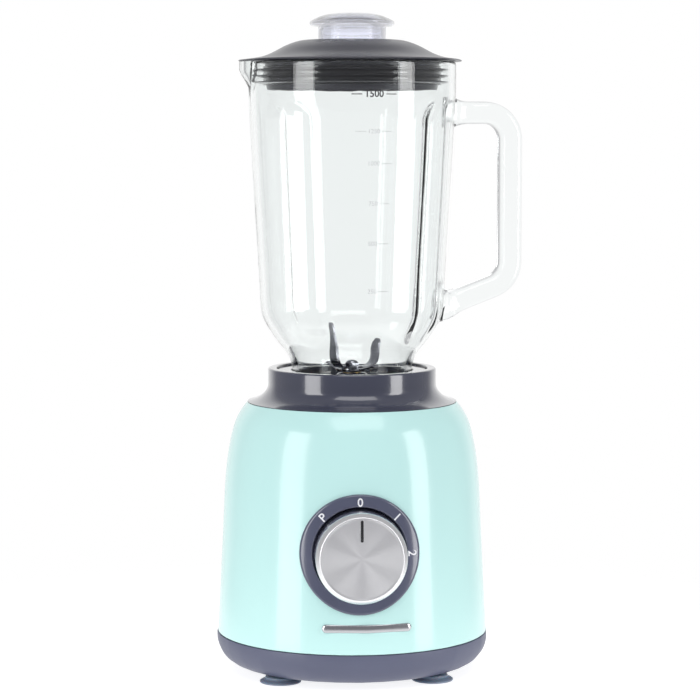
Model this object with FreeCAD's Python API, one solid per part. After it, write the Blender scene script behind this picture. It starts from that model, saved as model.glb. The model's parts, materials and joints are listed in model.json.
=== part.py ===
import FreeCAD, Part
import math
import os
from FreeCAD import Vector

# Countertop blender. Millimetres, +Z up. The origin is on the drive axis at the worktop.
# The control knob faces -Y, the jug's handle points towards +X and its spout towards -X.

# --- Driving dimensions ------------------------------------------------------------------
body_wall = 2.5            # moulded housing wall
glass_wall = 4.0           # pressed glass jug wall
clear = 0.4                # gap between pieces of different bodies
shaft_r = 4.0              # motor shaft and blade shaft
shaft_fit = 0.04           # radial running clearance in bearings and bushes
slip_fit = 0.02            # radial clearance of pieces fixed on a shaft

cover_floor = 3.6          # underside of the base cover
seam_height = 23.4         # seam between the base cover and the body shell
collar_seam = 167.5        # seam between the body shell and the top collar
rim_height = 188.8         # top of the collar's rim
socket_floor = 168.0       # floor of the collar's socket, which the jug stands on
rim_r = 52.5               # outside of the collar's rim
socket_r = 47.0            # inside of the collar's socket

jug_turn = 8.5             # the jug stands turned a little in its round socket
jug_bottom = 180.0         # lower edge of the glass neck
jug_rim = 378.4            # upper edge of the glass
neck_r = 37.5              # outside of the glass neck
flute_r = 20.0             # radius of the round-bottomed flutes pressed into the glass
flute_depth = 3.2
flute_count = 4
flute_low = 222.0          # heights of the centres of a flute's round ends
flute_high = 341.5

handle_reach = 101.4       # drive axis to the middle of the handle's grip
handle_top = 347.3
handle_bottom = 242.5
handle_drop = 17.5         # how far the lower arm falls from the grip to the wall

knob_height = 84.0         # height of the knob's axis
knob_r = 27.4
bezel_r = 36.2
bezel_rise = 2.4           # how far the bezel stands out of the shell
knob_front = 99.0          # drive axis to the knob's front face

foot_radius = 66.0         # drive axis to the centre of each foot
foot_r = 12.7
cord_height = 14.8         # height of the cord's entry at the back
brush_height = 52.0
stator_half = 35.0
stator_low, stator_high = 72.0, 112.0
stud_offset = 30.0         # motor screws, from the drive axis along X and along Y
damper_radius = 54.0       # drive axis to each rubber damper
pin_y = 42.0               # interlock pin, behind the drive axis

diagonals = (45, 135, 225, 315)
cover_screw_angles = (30, 150, 210, 330)
cover_screw_radius = 72.0
collar_screw_angles = (0, 90, 180, 270)
collar_screw_radius = 56.0

shell_outline = [(84.4, seam_height), (82.8, 53.0), (80.5, 98.0), (78.1, 132.0),
                 (75.3, 147.3), (71.4, 158.8), (66.3, 166.3), (65.3, collar_seam)]
jug_outline = [(neck_r, 188.8), (39.7, 196.3), (45.3, 203.8), (50.6, 211.3), (55.0, 218.8),
               (57.4, 234.0), (60.3, 286.0), (62.5, 324.0), (64.4, 361.0)]

CENTRE = Vector(0, 0, 0)
UP = Vector(0, 0, 1)


# --- Helpers -----------------------------------------------------------------------------
class Curve(list):
    """Outline points joined by one smooth curve instead of straight lines."""


def turned(*runs):
    """Solid of revolution about Z from a closed outline of (radius, height) points."""
    edges = []
    last = None
    for run in runs:
        points = [Vector(r, 0, z) for r, z in run]
        if last is not None and (points[0] - last).Length > 1e-6:
            edges.append(Part.makeLine(last, points[0]))
        if isinstance(run, Curve):
            curve = Part.BSplineCurve()
            curve.interpolate(points)
            edges.append(curve.toShape())
        else:
            edges += [Part.makeLine(a, b) for a, b in zip(points, points[1:])]
        last = points[-1]
    first = Vector(runs[0][0][0], 0, runs[0][0][1])
    if (first - last).Length > 1e-6:
        edges.append(Part.makeLine(last, first))
    return Part.Face(Part.Wire(edges)).revolve(CENTRE, UP, 360)


def inset(points, wall):
    """The outline moved square to itself by the wall, towards the drive axis."""
    moved = []
    for i, (r, z) in enumerate(points):
        before = points[max(i - 1, 0)]
        after = points[min(i + 1, len(points) - 1)]
        dr, dz = after[0] - before[0], after[1] - before[1]
        length = math.hypot(dr, dz)
        moved.append((r - wall * dz / length, z + wall * dr / length))
    return moved


def rod(radius, low, high, x=0.0, y=0.0):
    return Part.makeCylinder(radius, high - low, Vector(x, y, low))


def tube(inner, outer, low, high, x=0.0, y=0.0):
    return rod(outer, low, high, x, y).cut(rod(inner, low - 1, high + 1, x, y))


def block(x0, x1, y0, y1, z0, z1):
    return Part.makeBox(x1 - x0, y1 - y0, z1 - z0, Vector(x0, y0, z0))


def hexagon(across_flats, low, high, x=0.0, y=0.0):
    corner = across_flats / math.sqrt(3)
    points = [Vector(x + corner * math.cos(math.radians(60 * i)),
                     y + corner * math.sin(math.radians(60 * i)), low) for i in range(7)]
    return Part.Face(Part.makePolygon(points)).extrude(Vector(0, 0, high - low))


def spun(shape, angle):
    """A copy turned about the drive axis."""
    copy = shape.copy()
    copy.rotate(CENTRE, UP, angle)
    return copy


def around(shape, angles):
    return [spun(shape, angle) for angle in angles]


def facing_front(shape, height=knob_height):
    """Lays a piece that was built about Z on the horizontal axis that points to the front."""
    copy = shape.copy()
    copy.rotate(CENTRE, Vector(1, 0, 0), 90)
    copy.translate(Vector(0, 0, height))
    return copy


def group(shapes):
    return Part.makeCompound(shapes)


def joined(first, *others):
    return first.multiFuse(list(others)).removeSplitter()


def spring(coil_r, wire_r, low, high, turns):
    """A closed-end compression spring about Z, as one wire along a helix."""
    travel = high - low - 2 * wire_r
    helix = Part.makeHelix(travel / turns, travel, coil_r)
    section = Part.Wire(Part.makeCircle(wire_r, Vector(coil_r, 0, 0), Vector(0, 1, 0)))
    coil = Part.Wire(helix).makePipeShell([section], True, True)
    coil.translate(Vector(0, 0, low + wire_r))
    return coil


def screw(shank_r, head_r, head_low, head_high, tip, x, y):
    """A pan-head screw that is driven from below, with a cross recess in its head."""
    head = rod(head_r, head_low, head_high, x, y)
    body = head.fuse(rod(shank_r, head_high, tip, x, y)).removeSplitter()
    slot = head_r * 0.6
    for dx, dy in ((slot, 0.5), (0.5, slot)):
        body = body.cut(block(x - dx, x + dx, y - dy, y + dy, head_low - 1, head_low + 0.9))
    return body


def polar(radius, angle):
    return radius * math.cos(math.radians(angle)), radius * math.sin(math.radians(angle))


def shell_solid(rise=0.0):
    """The housing's outside as a filled solid, grown outwards by rise."""
    outline = inset(shell_outline, -rise)
    return turned([(0, outline[0][1]), outline[0]], Curve(outline), [outline[-1], (0, outline[-1][1])])


# --- Housing -----------------------------------------------------------------------------
def body_shell():
    inner = inset(shell_outline, body_wall)[:-1]
    shell = turned(Curve(shell_outline), [shell_outline[-1], (61.9, collar_seam), (61.9, 165.0)],
                   Curve(reversed(inner)))
    tabs = []
    for angle in collar_screw_angles:
        tab = block(51, 67.5, -5, 5, 158, 161).cut(rod(1.7, 150, 165, collar_screw_radius))
        tabs.append(spun(tab, angle))
    posts = []
    for angle in cover_screw_angles:
        post = rod(5, 33, 60, cover_screw_radius).fuse(block(cover_screw_radius, 81.4, -1.5, 1.5, 33, 60))
        posts.append(spun(post.cut(rod(1.9, 30, 50, cover_screw_radius)), angle))
    for x in (-26, 26):
        post = rod(4, 70, 75.5).cut(rod(1.4, 60, 74.5))
        post.translate(Vector(x, 0, 0))
        posts.append(facing_front(post))
    shell = shell.multiFuse(tabs + posts).removeSplitter()
    shell = shell.cut(facing_front(rod(30.2, 60, 90)))
    vents = [spun(vent_slot(), 90 + 7 * step) for step in range(-5, 6)]
    return shell.cut(group(vents))


def vent_slot():
    """A round-ended upright slot through the rear wall, about the +X direction."""
    slot = block(70, 90, -1.5, 1.5, 58, 90)
    for z in (58, 90):
        end = rod(1.5, 70, 90)
        end.rotate(CENTRE, Vector(0, 1, 0), 90)
        end.translate(Vector(0, 0, z))
        slot = slot.fuse(end)
    return slot


def top_collar():
    """Collar with the jug's socket, motor bosses and the interlock pin's guide."""
    collar = turned(Curve([(65.3, collar_seam), (59.4, 170.0), (54.2, 173.8), (rim_r, 178.0)]),
                    [(rim_r, 178.0), (rim_r, rim_height - 1.2)],
                    Curve([(rim_r, rim_height - 1.2), (rim_r - 0.4, rim_height - 0.3), (rim_r - 1.2, rim_height)]),
                    [(rim_r - 1.2, rim_height), (socket_r + 0.8, rim_height), (socket_r, rim_height - 0.8),
                     (socket_r, socket_floor), (8.0, socket_floor), (8.0, 162.0), (10.0, 162.0),
                     (10.0, 165.0), (59.2, 165.0), (59.2, 161.2), (61.7, 161.2), (61.7, collar_seam)])
    bosses = []
    for angle in diagonals:
        bosses.append(spun(tube(1.6, 5.5, 134, 165.5, damper_radius), angle))
    for angle in collar_screw_angles:
        bosses.append(spun(tube(1.5, 3.4, 161.2, 165.5, collar_screw_radius), angle))
    for x in (-10, 10):
        bosses.append(tube(1.1, 3.0, 147.5, 165.5, x, pin_y))
    bosses.append(tube(5.0, 6.4, 150.5, 165.5, 0, pin_y))
    collar = collar.multiFuse(bosses).removeSplitter()
    return collar.cut(rod(2.5 + clear, 164, 170, 0, pin_y))


def base_cover():
    """Tray under the housing, with air slots, screw posts, board rails and the cord entry."""
    tray = turned([(0, cover_floor), (66, cover_floor)],
                  Curve([(66, cover_floor), (74.2, 4.8), (79.8, 8.4), (83.4, 13.8), (84.85, 20.2),
                         (84.85, seam_height - 0.2)]),
                  [(81.6, seam_height - 0.2), (81.2, 29.5), (79.4, 29.5)],
                  Curve([(79.4, 29.5), (79.2, 19.0), (75.0, 10.0), (66, 6.6)]), [(0, 6.6)])
    added = [spun(rod(5, 6, 33, cover_screw_radius), angle) for angle in cover_screw_angles]
    pad = rod(8.2, 70, 85.2)
    pad.rotate(CENTRE, Vector(1, 0, 0), -90)
    pad.translate(Vector(0, 0, cord_height))
    added.append(pad)
    for side in (-1, 1):
        rail = block(-2.4, 2.4, 52, 58, 6, 40)
        rail.translate(Vector(side * 29.0, 0, 0))
        added.append(rail)
    tray = tray.multiFuse(added).removeSplitter()
    cuts = [block(-28.7, 28.7, 54.1, 56.1, 11.9, 41)]
    for angle in cover_screw_angles:
        cuts.append(spun(rod(3.9, 0, 9.2, cover_screw_radius).fuse(rod(2.1, 0, 40, cover_screw_radius)), angle))
    for angle in diagonals:
        cuts.append(spun(rod(4.1, 0, 20, foot_radius), angle))
    for index in range(16):
        cuts.append(spun(block(18, 38, -1.6, 1.6, 0, 12), index * 22.5))
    entry = rod(5, 60, 90)
    entry.rotate(CENTRE, Vector(1, 0, 0), -90)
    entry.translate(Vector(0, 0, cord_height))
    cuts.append(entry)
    return tray.cut(group(cuts))


def suction_feet():
    """Rubber cups with a hollow underside, each pushed through the cover with a bulb inside."""
    foot = turned([(11.3, 0), (foot_r, 0), (foot_r, 0.9)],
                  Curve([(foot_r, 0.9), (11.7, 1.5), (10.0, 2.3), (9.3, 3.5)]),
                  [(4.0, 3.5), (4.0, 7.8), (5.4, 7.8), (5.0, 8.8), (3.0, 10.1), (0, 10.1), (0, 2.2)],
                  Curve([(0, 2.2), (6.0, 1.7), (11.3, 0)]))
    foot.translate(Vector(foot_radius, 0, 0))
    return group(around(foot, diagonals))


def cord_gland():
    gland = turned([(3.5, 68), (4.9, 68), (4.9, 85.3), (7.2, 85.3), (7.2, 86.6), (6.2, 88), (3.5, 88)])
    gland.rotate(CENTRE, Vector(1, 0, 0), -90)
    gland.translate(Vector(0, 0, cord_height))
    return gland


def knob_bezel():
    """Curved ring that follows the housing, with a cup that the knob sits in."""
    ring = facing_front(rod(bezel_r, 40, 100)).common(shell_solid(bezel_rise)).cut(shell_solid())
    ring = ring.common(block(-50, 50, -100, -40, 0, 200))
    cup = facing_front(rod(30.0, 74, 82.5))
    cup = cup.common(shell_solid(bezel_rise))
    bezel = ring.fuse(cup)
    bezel = bezel.cut(facing_front(rod(28.6, 75.5, 100))).cut(facing_front(rod(5.6, 60, 100)))
    return bezel.removeSplitter()


def trim_bar():
    """Plain bright bar with round ends, bent round the housing."""
    bar = block(-20.5, 28.5, -100, -40, 36.9, 41.9)
    for x in (-20.5, 28.5):
        end = facing_front(rod(2.5, 40, 100), 39.4)
        end.translate(Vector(x, 0, 0))
        bar = bar.fuse(end)
    return bar.common(shell_solid(1.4)).cut(shell_solid()).common(block(-50, 50, -100, -40, 0, 200))


# --- Motor -------------------------------------------------------------------------------
def cross_plate(low, high, middle_r, reach):
    arms = block(-reach, reach, -7, 7, low, high).fuse(block(-7, 7, -reach, reach, low, high))
    return spun(arms.fuse(rod(middle_r, low, high)).removeSplitter(), 45)


def stud_holes(shape, radius=2.3):
    for x in (-stud_offset, stud_offset):
        for y in (-stud_offset, stud_offset):
            shape = shape.cut(rod(radius, 0, 200, x, y))
    return shape


def upper_motor_bracket():
    plate = joined(cross_plate(124, 127, 34, 60), rod(13.5, 124, 132))
    plate = plate.cut(rod(8, 120, 126)).cut(rod(11.02, 125, 140))
    for angle in diagonals:
        plate = plate.cut(spun(rod(2.3, 120, 130, damper_radius), angle))
    return stud_holes(plate)


def lower_motor_bracket():
    plate = joined(cross_plate(40, 43, 30, 48), rod(13.5, 35, 43))
    plate = plate.cut(rod(8, 30, 50)).cut(rod(11.02, 30, 42))
    return stud_holes(plate)


def ball_bearing(low):
    """Outer and inner race with a shield between them, as one ring."""
    return turned([(shaft_r + shaft_fit, low), (6, low), (6, low + 0.5), (9, low + 0.5), (9, low), (11, low),
                   (11, low + 7), (9, low + 7), (9, low + 6.5), (6, low + 6.5), (6, low + 7),
                   (shaft_r + shaft_fit, low + 7)])


def motor_dampers():
    ring = tube(2.3, 7, 127, 134, damper_radius).cut(tube(5.8, 8, 129.5, 131.5, damper_radius))
    return group(around(ring, diagonals))


def damper_screws():
    return group(around(screw(1.5, 4.0, 121.6, 124, 152, damper_radius, 0), diagonals))


def motor_screws():
    """Long screws that clamp both brackets to the stator, each with its nut."""
    pieces = []
    for x in (-stud_offset, stud_offset):
        for y in (-stud_offset, stud_offset):
            pieces.append(screw(2.0, 3.8, 37.2, 40, 132, x, y))
            pieces.append(hexagon(7, 127, 130.2, x, y).cut(rod(2.05, 120, 140, x, y)))
    return group(pieces)


def motor_spacers():
    pieces = []
    for x in (-stud_offset, stud_offset):
        for y in (-stud_offset, stud_offset):
            pieces.append(tube(2.2, 3.0, 43, stator_low, x, y))
            pieces.append(tube(2.2, 3.0, stator_high, 124, x, y))
    return group(pieces)


def stator_core():
    half = stator_half
    core = block(-half, half, -half, half, stator_low, stator_high)
    corners = [e for e in core.Edges if abs(e.tangentAt(e.FirstParameter).z) > 0.9]
    core = core.makeChamfer(3.5, corners)
    core = core.cut(rod(23, 60, 130)).cut(block(-27, 27, -17, 17, 60, 130))
    return stud_holes(core)


def field_coils():
    """A coil round each pole: limbs in the core's windows, end turns above and below it."""
    loop = block(-26.8, 26.8, 2, 26.5, stator_low - 8, stator_high + 8)
    loop = loop.cut(block(-23.3, 23.3, 0, 21, 0, 200)).cut(rod(23.2, 0, 200)).cut(stator_core())
    largest = max(loop.Solids, key=lambda solid: solid.Volume)
    return group([largest, spun(largest, 180)])


def armature_core():
    core = tube(shaft_r + slip_fit, 22.4, 74, 110)
    slots = [spun(block(16, 23, -1.1, 1.1, 70, 115), index * 30) for index in range(12)]
    return core.cut(group(slots))


def armature_windings():
    lower = turned([(shaft_r + slip_fit, 65), (17, 65)], Curve([(17, 65), (19.2, 68), (19.2, 74)]),
                   [(shaft_r + slip_fit, 74)])
    upper = turned([(shaft_r + slip_fit, 110), (19.2, 110)], Curve([(19.2, 110), (19.2, 116), (17, 119)]),
                   [(shaft_r + slip_fit, 119)])
    return group([lower, upper])


def commutator():
    drum = tube(shaft_r + slip_fit, 12, 46, 60).fuse(tube(shaft_r + slip_fit, 13.4, 60, 62))
    slits = [spun(block(11, 14, -0.25, 0.25, 40, 70), index * 15) for index in range(24)]
    return drum.removeSplitter().cut(group(slits))


def brush_holders():
    z = brush_height
    holder = block(14, 40, -6, 6, 43, z + 6).cut(block(13, 38.5, -3.1, 3.1, z - 4.1, z + 4.1))
    return group(around(holder, (0, 180)))


def carbon_brushes():
    z = brush_height
    brush = block(12.3, 26, -3, 3, z - 4, z + 4).cut(rod(12.3, z - 5, z + 5))
    return group(around(brush, (0, 180)))


def brush_springs():
    coil = spring(2.2, 0.35, 26.0, 38.5, 7)
    coil.rotate(CENTRE, Vector(0, 1, 0), 90)
    coil.translate(Vector(0, 0, brush_height))
    return group(around(coil, (0, 180)))


def cooling_fan():
    """Backplate with swept blades that pull air up through the base cover."""
    hub = rod(8, 19, 31.5).fuse(rod(35.5, 30, 31.5))
    blade = block(7, 35, -0.8, 0.8, 20, 30.2)
    blade.rotate(Vector(7, 0, 0), UP, 22)
    blade = blade.common(rod(35.5, 0, 50))
    wheel = hub.multiFuse([spun(blade, index * 36) for index in range(10)]).removeSplitter()
    return wheel.cut(rod(shaft_r + slip_fit, 10, 40))


def motor_shaft():
    return rod(shaft_r, 17.5, 172.5)


def shaft_seal():
    return turned([(shaft_r + shaft_fit, 163.4), (7.9, 163.4), (7.9, 167.6), (5.4, 167.6), (5.4, 165.2),
                   (shaft_r + shaft_fit, 164.6)])


def star(core_r, tooth_r, tooth_width, low, high):
    teeth = block(-tooth_r, tooth_r, -tooth_width / 2, tooth_width / 2, low, high)
    shape = rod(core_r, low, high).multiFuse(around(teeth, (0, 60, 120))).removeSplitter()
    return shape.common(rod(tooth_r, low, high))


def drive_coupling():
    return star(7.0, 10.0, 4.0, 168.5, 174.0).cut(rod(shaft_r + slip_fit, 160, 172.6))


# --- Controls ----------------------------------------------------------------------------
def switch_bracket():
    plate = block(-31, 31, -70, -68, 72, 97)
    plate = plate.cut(facing_front(rod(5.1, 60, 80)))
    for x in (-26, 26):
        hole = facing_front(rod(1.7, 60, 80))
        hole.translate(Vector(x, 0, 0))
        plate = plate.cut(hole)
    return plate


def bracket_screws():
    pieces = []
    for x in (-26, 26):
        piece = screw(1.3, 3.0, 66.0, 68.0, 74.0, 0, 0)
        piece.translate(Vector(x, 0, 0))
        pieces.append(facing_front(piece))
    return group(pieces)


def rotary_switch():
    """Switch body with a threaded bush through the bracket and a row of terminals."""
    body = block(-15, 15, -68, -48, knob_height - 15, knob_height + 15)
    body = body.fuse(facing_front(rod(5.0, 66, 76)))
    for x in (-10, -3.3, 3.3, 10):
        body = body.fuse(block(x - 1.6, x + 1.6, -48.2, -42, knob_height - 9, knob_height - 8.2))
    return body.removeSplitter().cut(facing_front(rod(3.05, 49.5, 90)))


def switch_nut():
    return facing_front(hexagon(14, 70, 73).cut(rod(5.02, 60, 80)))


def switch_shaft():
    return facing_front(rod(3.0, 50, 90))


def knob_body():
    core = turned([(3.02, 77.0), (24.0, 77.0), (25.9, 79.0), (25.9, knob_front - 3.2), (0, knob_front - 3.2),
                   (0, 90.1), (3.02, 90.1)])
    return facing_front(core)


def knob_face():
    """Spun metal cap with a bright bevelled edge, over the knob's plastic core."""
    cap = turned([(0, knob_front), (24.6, knob_front), (knob_r, knob_front - 2.8), (knob_r, 77.2), (26.0, 77.2),
                  (26.0, knob_front - 3.1), (0, knob_front - 3.1)])
    return facing_front(cap.cut(block(-0.8, 0.8, 10.3, 23.2, knob_front - 0.7, knob_front + 1)))


def knob_pointer():
    return facing_front(block(-0.8, 0.8, 10.3, 23.2, knob_front - 0.7, knob_front - 0.1))


def interlock_pin():
    return joined(rod(2.5, 146.0, socket_floor - 0.1, 0, pin_y), rod(4.6, 153.0, 154.5, 0, pin_y))


def interlock_spring():
    coil = spring(3.6, 0.35, 147.5, 153.0, 4)
    coil.translate(Vector(0, pin_y, 0))
    return coil


def interlock_cradle():
    """Carrier under the collar that seats the spring and grips the safety switch."""
    plate = block(-13.5, 13.5, pin_y - 6, pin_y + 6, 145.5, 147.5)
    for side in (-1, 1):
        cheek = block(-0.8, 0.8, pin_y - 5, pin_y + 5, 131, 146)
        cheek.translate(Vector(side * 6.8, 0, 0))
        plate = plate.fuse(cheek)
        plate = plate.cut(rod(1.4, 140, 150, side * 10, pin_y))
    return plate.removeSplitter().cut(rod(2.5 + clear, 140, 150, 0, pin_y))


def cradle_screws():
    return group([screw(1.0, 2.2, 143.9, 145.5, 158, x, pin_y) for x in (-10, 10)])


def interlock_switch():
    return joined(block(-5.9, 5.9, pin_y - 4, pin_y + 4, 131, 143.4), rod(1.4, 143, 145.6, 0, pin_y),
                  block(-4.5, -3.7, pin_y - 2, pin_y + 2, 126, 131.2),
                  block(3.7, 4.5, pin_y - 2, pin_y + 2, 126, 131.2))


def control_board():
    return block(-28.5, 28.5, 54.3, 55.9, 12, 58)


def board_parts():
    """Relay, choke and resistors on the face that looks at the motor."""
    choke = rod(6, 0, 9)
    choke.rotate(CENTRE, Vector(1, 0, 0), 90)
    choke.translate(Vector(14, 54.3, 48))
    pieces = [block(-22, -6, 42, 54.3, 18, 32), choke]
    for x in (6, 12, 18):
        pieces.append(block(x - 1.3, x + 1.3, 51.3, 54.3, 18, 30))
    return group(pieces)


def suppressor_capacitor():
    return block(-22, -2, 44, 54.3, 38, 50)


def terminal_block():
    body = block(-7, 7, 57.5, 65.5, 6.6, 17)
    return body.cut(rod(1.6, 12, 30, -3.4, 61.5)).cut(rod(1.6, 12, 30, 3.4, 61.5))


# --- Jug ---------------------------------------------------------------------------------
def flutes(radius, low, high):
    """Round-ended bars beside the jug; what they share with it is a flute."""
    slope = math.atan2(62.9 - 56.2, flute_high - flute_low)
    offset = flute_r - flute_depth
    bottom = Vector(56.2 + offset, 0, flute_low)
    top = Vector(62.9 + offset, 0, flute_high)
    axis = top - bottom
    bar = Part.makeCylinder(radius, axis.Length, bottom, axis)
    bar = bar.multiFuse([Part.makeSphere(radius, bottom), Part.makeSphere(radius, top)])
    bar = bar.common(block(0, 120, -60, 60, low, high))
    return around(bar, [45 + 360 / flute_count * index for index in range(flute_count)])


def spout(radius_step):
    """The pouring lip: a cone that leaves the wall and runs up to the rim."""
    cone = Part.makeCone(8.5 - radius_step, 15.0 - radius_step, 11.0, Vector(-55.5, 0, 361.5))
    return cone.fuse(rod(15.0 - radius_step, 372.5, jug_rim, -55.5))


def handle():
    """Grip of a flattened round section along a path of straight runs and round corners."""
    root, reach, top, low = 59.0, handle_reach, handle_top, handle_bottom
    r = 17.0
    turn = math.atan2(handle_drop, reach - 54.0)
    corner = Vector(reach, 0, low)
    along = Vector(-math.cos(turn), 0, -math.sin(turn))
    set_back = r * math.tan((math.pi / 2 - turn) / 2)
    a, b = Vector(root, 0, top), Vector(reach - r, 0, top)
    c, d = Vector(reach, 0, top - r), corner + Vector(0, 0, set_back)
    e = corner + along * set_back
    f = Vector(54.0, 0, low - handle_drop)
    bend_high = Vector(reach - r + r * math.sin(math.pi / 4), 0, top - r + r * math.cos(math.pi / 4))
    centre = d + Vector(-r, 0, 0)
    half = (math.pi / 2 - turn) / 2
    bend_low = centre + Vector(r * math.cos(half), 0, -r * math.sin(half))
    path = Part.Wire([Part.makeLine(a, b), Part.Arc(b, bend_high, c).toShape(), Part.makeLine(c, d),
                      Part.Arc(d, bend_low, e).toShape(), Part.makeLine(e, f)])
    section = Part.Ellipse(Vector(0, 0, 0), 9.5, 6.9).toShape()
    section.rotate(CENTRE, UP, 90)
    section.rotate(CENTRE, Vector(0, 1, 0), 90)
    section.rotate(CENTRE, Vector(1, 0, 0), 0)
    section.translate(a)
    return path.makePipeShell([Part.Wire(section)], True, True)


def jug_glass():
    outside = turned([(0, jug_bottom), (neck_r, jug_bottom), jug_outline[0]], Curve(jug_outline),
                     [jug_outline[-1], (64.4, jug_rim - 1.5), (63.2, jug_rim), (0, jug_rim)])
    inner = inset(jug_outline, glass_wall)
    inner[0] = (neck_r - glass_wall, 188.8)
    inside = turned([(0, jug_bottom - 1), (neck_r - glass_wall, jug_bottom - 1), inner[0]], Curve(inner),
                    [inner[-1], (60.4, jug_rim + 1), (0, jug_rim + 1)])
    outside = outside.fuse(spout(0)).fuse(handle())
    outside = outside.cut(group(flutes(flute_r, 190, 360)))
    inside = inside.cut(group(flutes(flute_r + glass_wall, 190, 366))).fuse(spout(3.6))
    lip_way = rod(11.4, 370, jug_rim + 1, -55.5)
    return outside.cut(inside.fuse(lip_way)).removeSplitter()


def jug_base_ring():
    """Threaded ring that clamps the blade carrier to the glass neck and stands in the socket."""
    return turned([(31.0, 172.0), (31.0, 168.4), (45.5, 168.4), (46.5, 169.4), (46.5, 186.6), (45.7, 187.6),
                   (38.6, 187.6), (37.8, 186.8), (37.8, 175.0), (31.0, 175.0)])


def blade_carrier():
    return turned([(5.52, 178.8), (16.5, 178.8), (16.5, 175.0), (37.2, 175.0), (37.2, 178.0), (33.0, 178.0), (31, 178.4),
                   (22, 180.8), (11, 183.2), (8.5, 186.2), (5.52, 186.2)])


def carrier_gasket():
    return tube(33.6, 37.2, 178.0, jug_bottom)


def blade_bush():
    return turned([(shaft_r + shaft_fit, 178.8), (5.5, 178.8), (5.5, 186.5), (shaft_r + shaft_fit, 186.5)])


def blade_shaft():
    return joined(rod(shaft_r, 175.5, 187.0), rod(3.0, 187.0, 194.5))


def jug_coupling():
    return rod(15, 168.9, 178.2).cut(star(7.5, 10.5, 4.8, 160, 174.8)).cut(rod(shaft_r + slip_fit, 170, 180))


def blade(points, thickness, half_width, tip_half, tip):
    """One arm's side view, extruded across and then tapered in plan towards its tip."""
    side = points + list(reversed(inset(points, thickness)))
    corners = [Vector(x, -half_width, z) for x, z in side]
    arm = Part.Face(Part.makePolygon(corners + corners[:1])).extrude(Vector(0, 2 * half_width, 0))
    plan = [(-1, -half_width), (9, -half_width), (tip, -tip_half), (tip, tip_half), (9, half_width),
            (-1, half_width)]
    flat = [Vector(x, y, 150) for x, y in plan + plan[:1]]
    return arm.common(Part.Face(Part.makePolygon(flat)).extrude(Vector(0, 0, 100)))


def bent_points(flat, bend_r, angle, length, level):
    """Side view of a strip: flat, then bent up round a radius, then straight to the tip."""
    points = [(0, level), (flat, level)]
    for step in range(1, 7):
        a = math.radians(angle) * step / 6
        points.append((flat + bend_r * math.sin(a), level + bend_r * (1 - math.cos(a))))
    a = math.radians(angle)
    x, z = points[-1]
    points.append((x + length * math.cos(a), z + length * math.sin(a)))
    return points


def blade_pair(level, turn_angle, arms):
    """Two opposite arms from one sheet, with the shaft's hole between them."""
    pieces = [rod(6.5, level, level + 1.5)]
    for side, (flat, bend_r, angle, length) in zip((0, 180), arms):
        points = bent_points(flat, bend_r, angle, length, level)
        tip = max(x for x, z in points)
        pieces.append(spun(blade(points, 1.5, 5.8, 2.2, tip + 2), side))
    return spun(joined(*pieces).cut(rod(3.03, 150, 250)), turn_angle)


def upper_blade():
    return blade_pair(189.1, 210, [(6, 7.5, 80, 21.5), (9.5, 8, 75, 12)])


def lower_blade():
    return blade_pair(187.5, 128, [(8, 10, 22, 12), (8, 10, 14, 12)])


def blade_washer():
    return tube(3.03, 6.0, 187.0, 187.5)


def blade_nut():
    return hexagon(8.5, 190.6, 193.6).fuse(turned([(0, 193.6), (3.9, 193.6), (2.6, 195.6), (0, 196.2)])).cut(
        rod(3.03, 180, 194.6))


# --- Lid ---------------------------------------------------------------------------------
def lid():
    """Domed lid with a thin brim, a nose over the spout, a lifting tab and a deep skirt."""
    crown = turned([(21.6, 366.0), (21.6, 391.4), (22.4, 392.0), (28.0, 392.0)],
                   Curve([(28.0, 392.0), (36.0, 390.5), (43.0, 387.6), (49.0, 384.4), (56.0, 381.7), (65.8, 380.0)]),
                   [(65.8, 379.1), (64.0, 378.8), (53.7, 378.8), (53.7, 362.0), (52.5, 360.5), (51.3, 362.0)],
                   Curve([(51.3, 380.6), (45.0, 384.1), (37.0, 387.8), (28.0, 389.6)]),
                   [(24.2, 389.6), (24.2, 366.0)])
    plates = []
    for x, radius in ((-45.0, 26.0), (45.0, 24.0)):
        plates.append(tube(20, radius, 378.9, 380.2, x).common(tube(60, 80, 378, 381)))
    return crown.multiFuse(plates).removeSplitter()


def lid_seal():
    """Rubber sleeve on the skirt with three soft lips."""
    sleeve = tube(53.7, 55.2, 364.0, 375.5)
    for z in (365.6, 369.4, 373.2):
        lip = turned([(55.0, z - 0.9), (59.7, z + 0.1), (59.7, z + 0.6), (55.0, z + 0.7)])
        sleeve = sleeve.fuse(lip)
    return sleeve.removeSplitter()


def measuring_cap():
    """Clear hollow cap with a wide domed flange, which closes the lid's filling hole."""
    return turned(Curve([(0, 408.8), (12.0, 408.2), (19.5, 406.6), (26.3, 403.4)]),
                  [(26.3, 403.4), (26.3, 401.3), (25.3, 400.5), (21.0, 399.8), (21.0, 368.0), (19.2, 368.0),
                   (19.2, 401.0)],
                  Curve([(19.2, 401.0), (15.0, 405.0), (0, 406.6)]))


def on_jug(shape):
    """Turns a piece of the jug or of what rides on it by the jug's stance in the socket."""
    return spun(shape, jug_turn)


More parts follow.
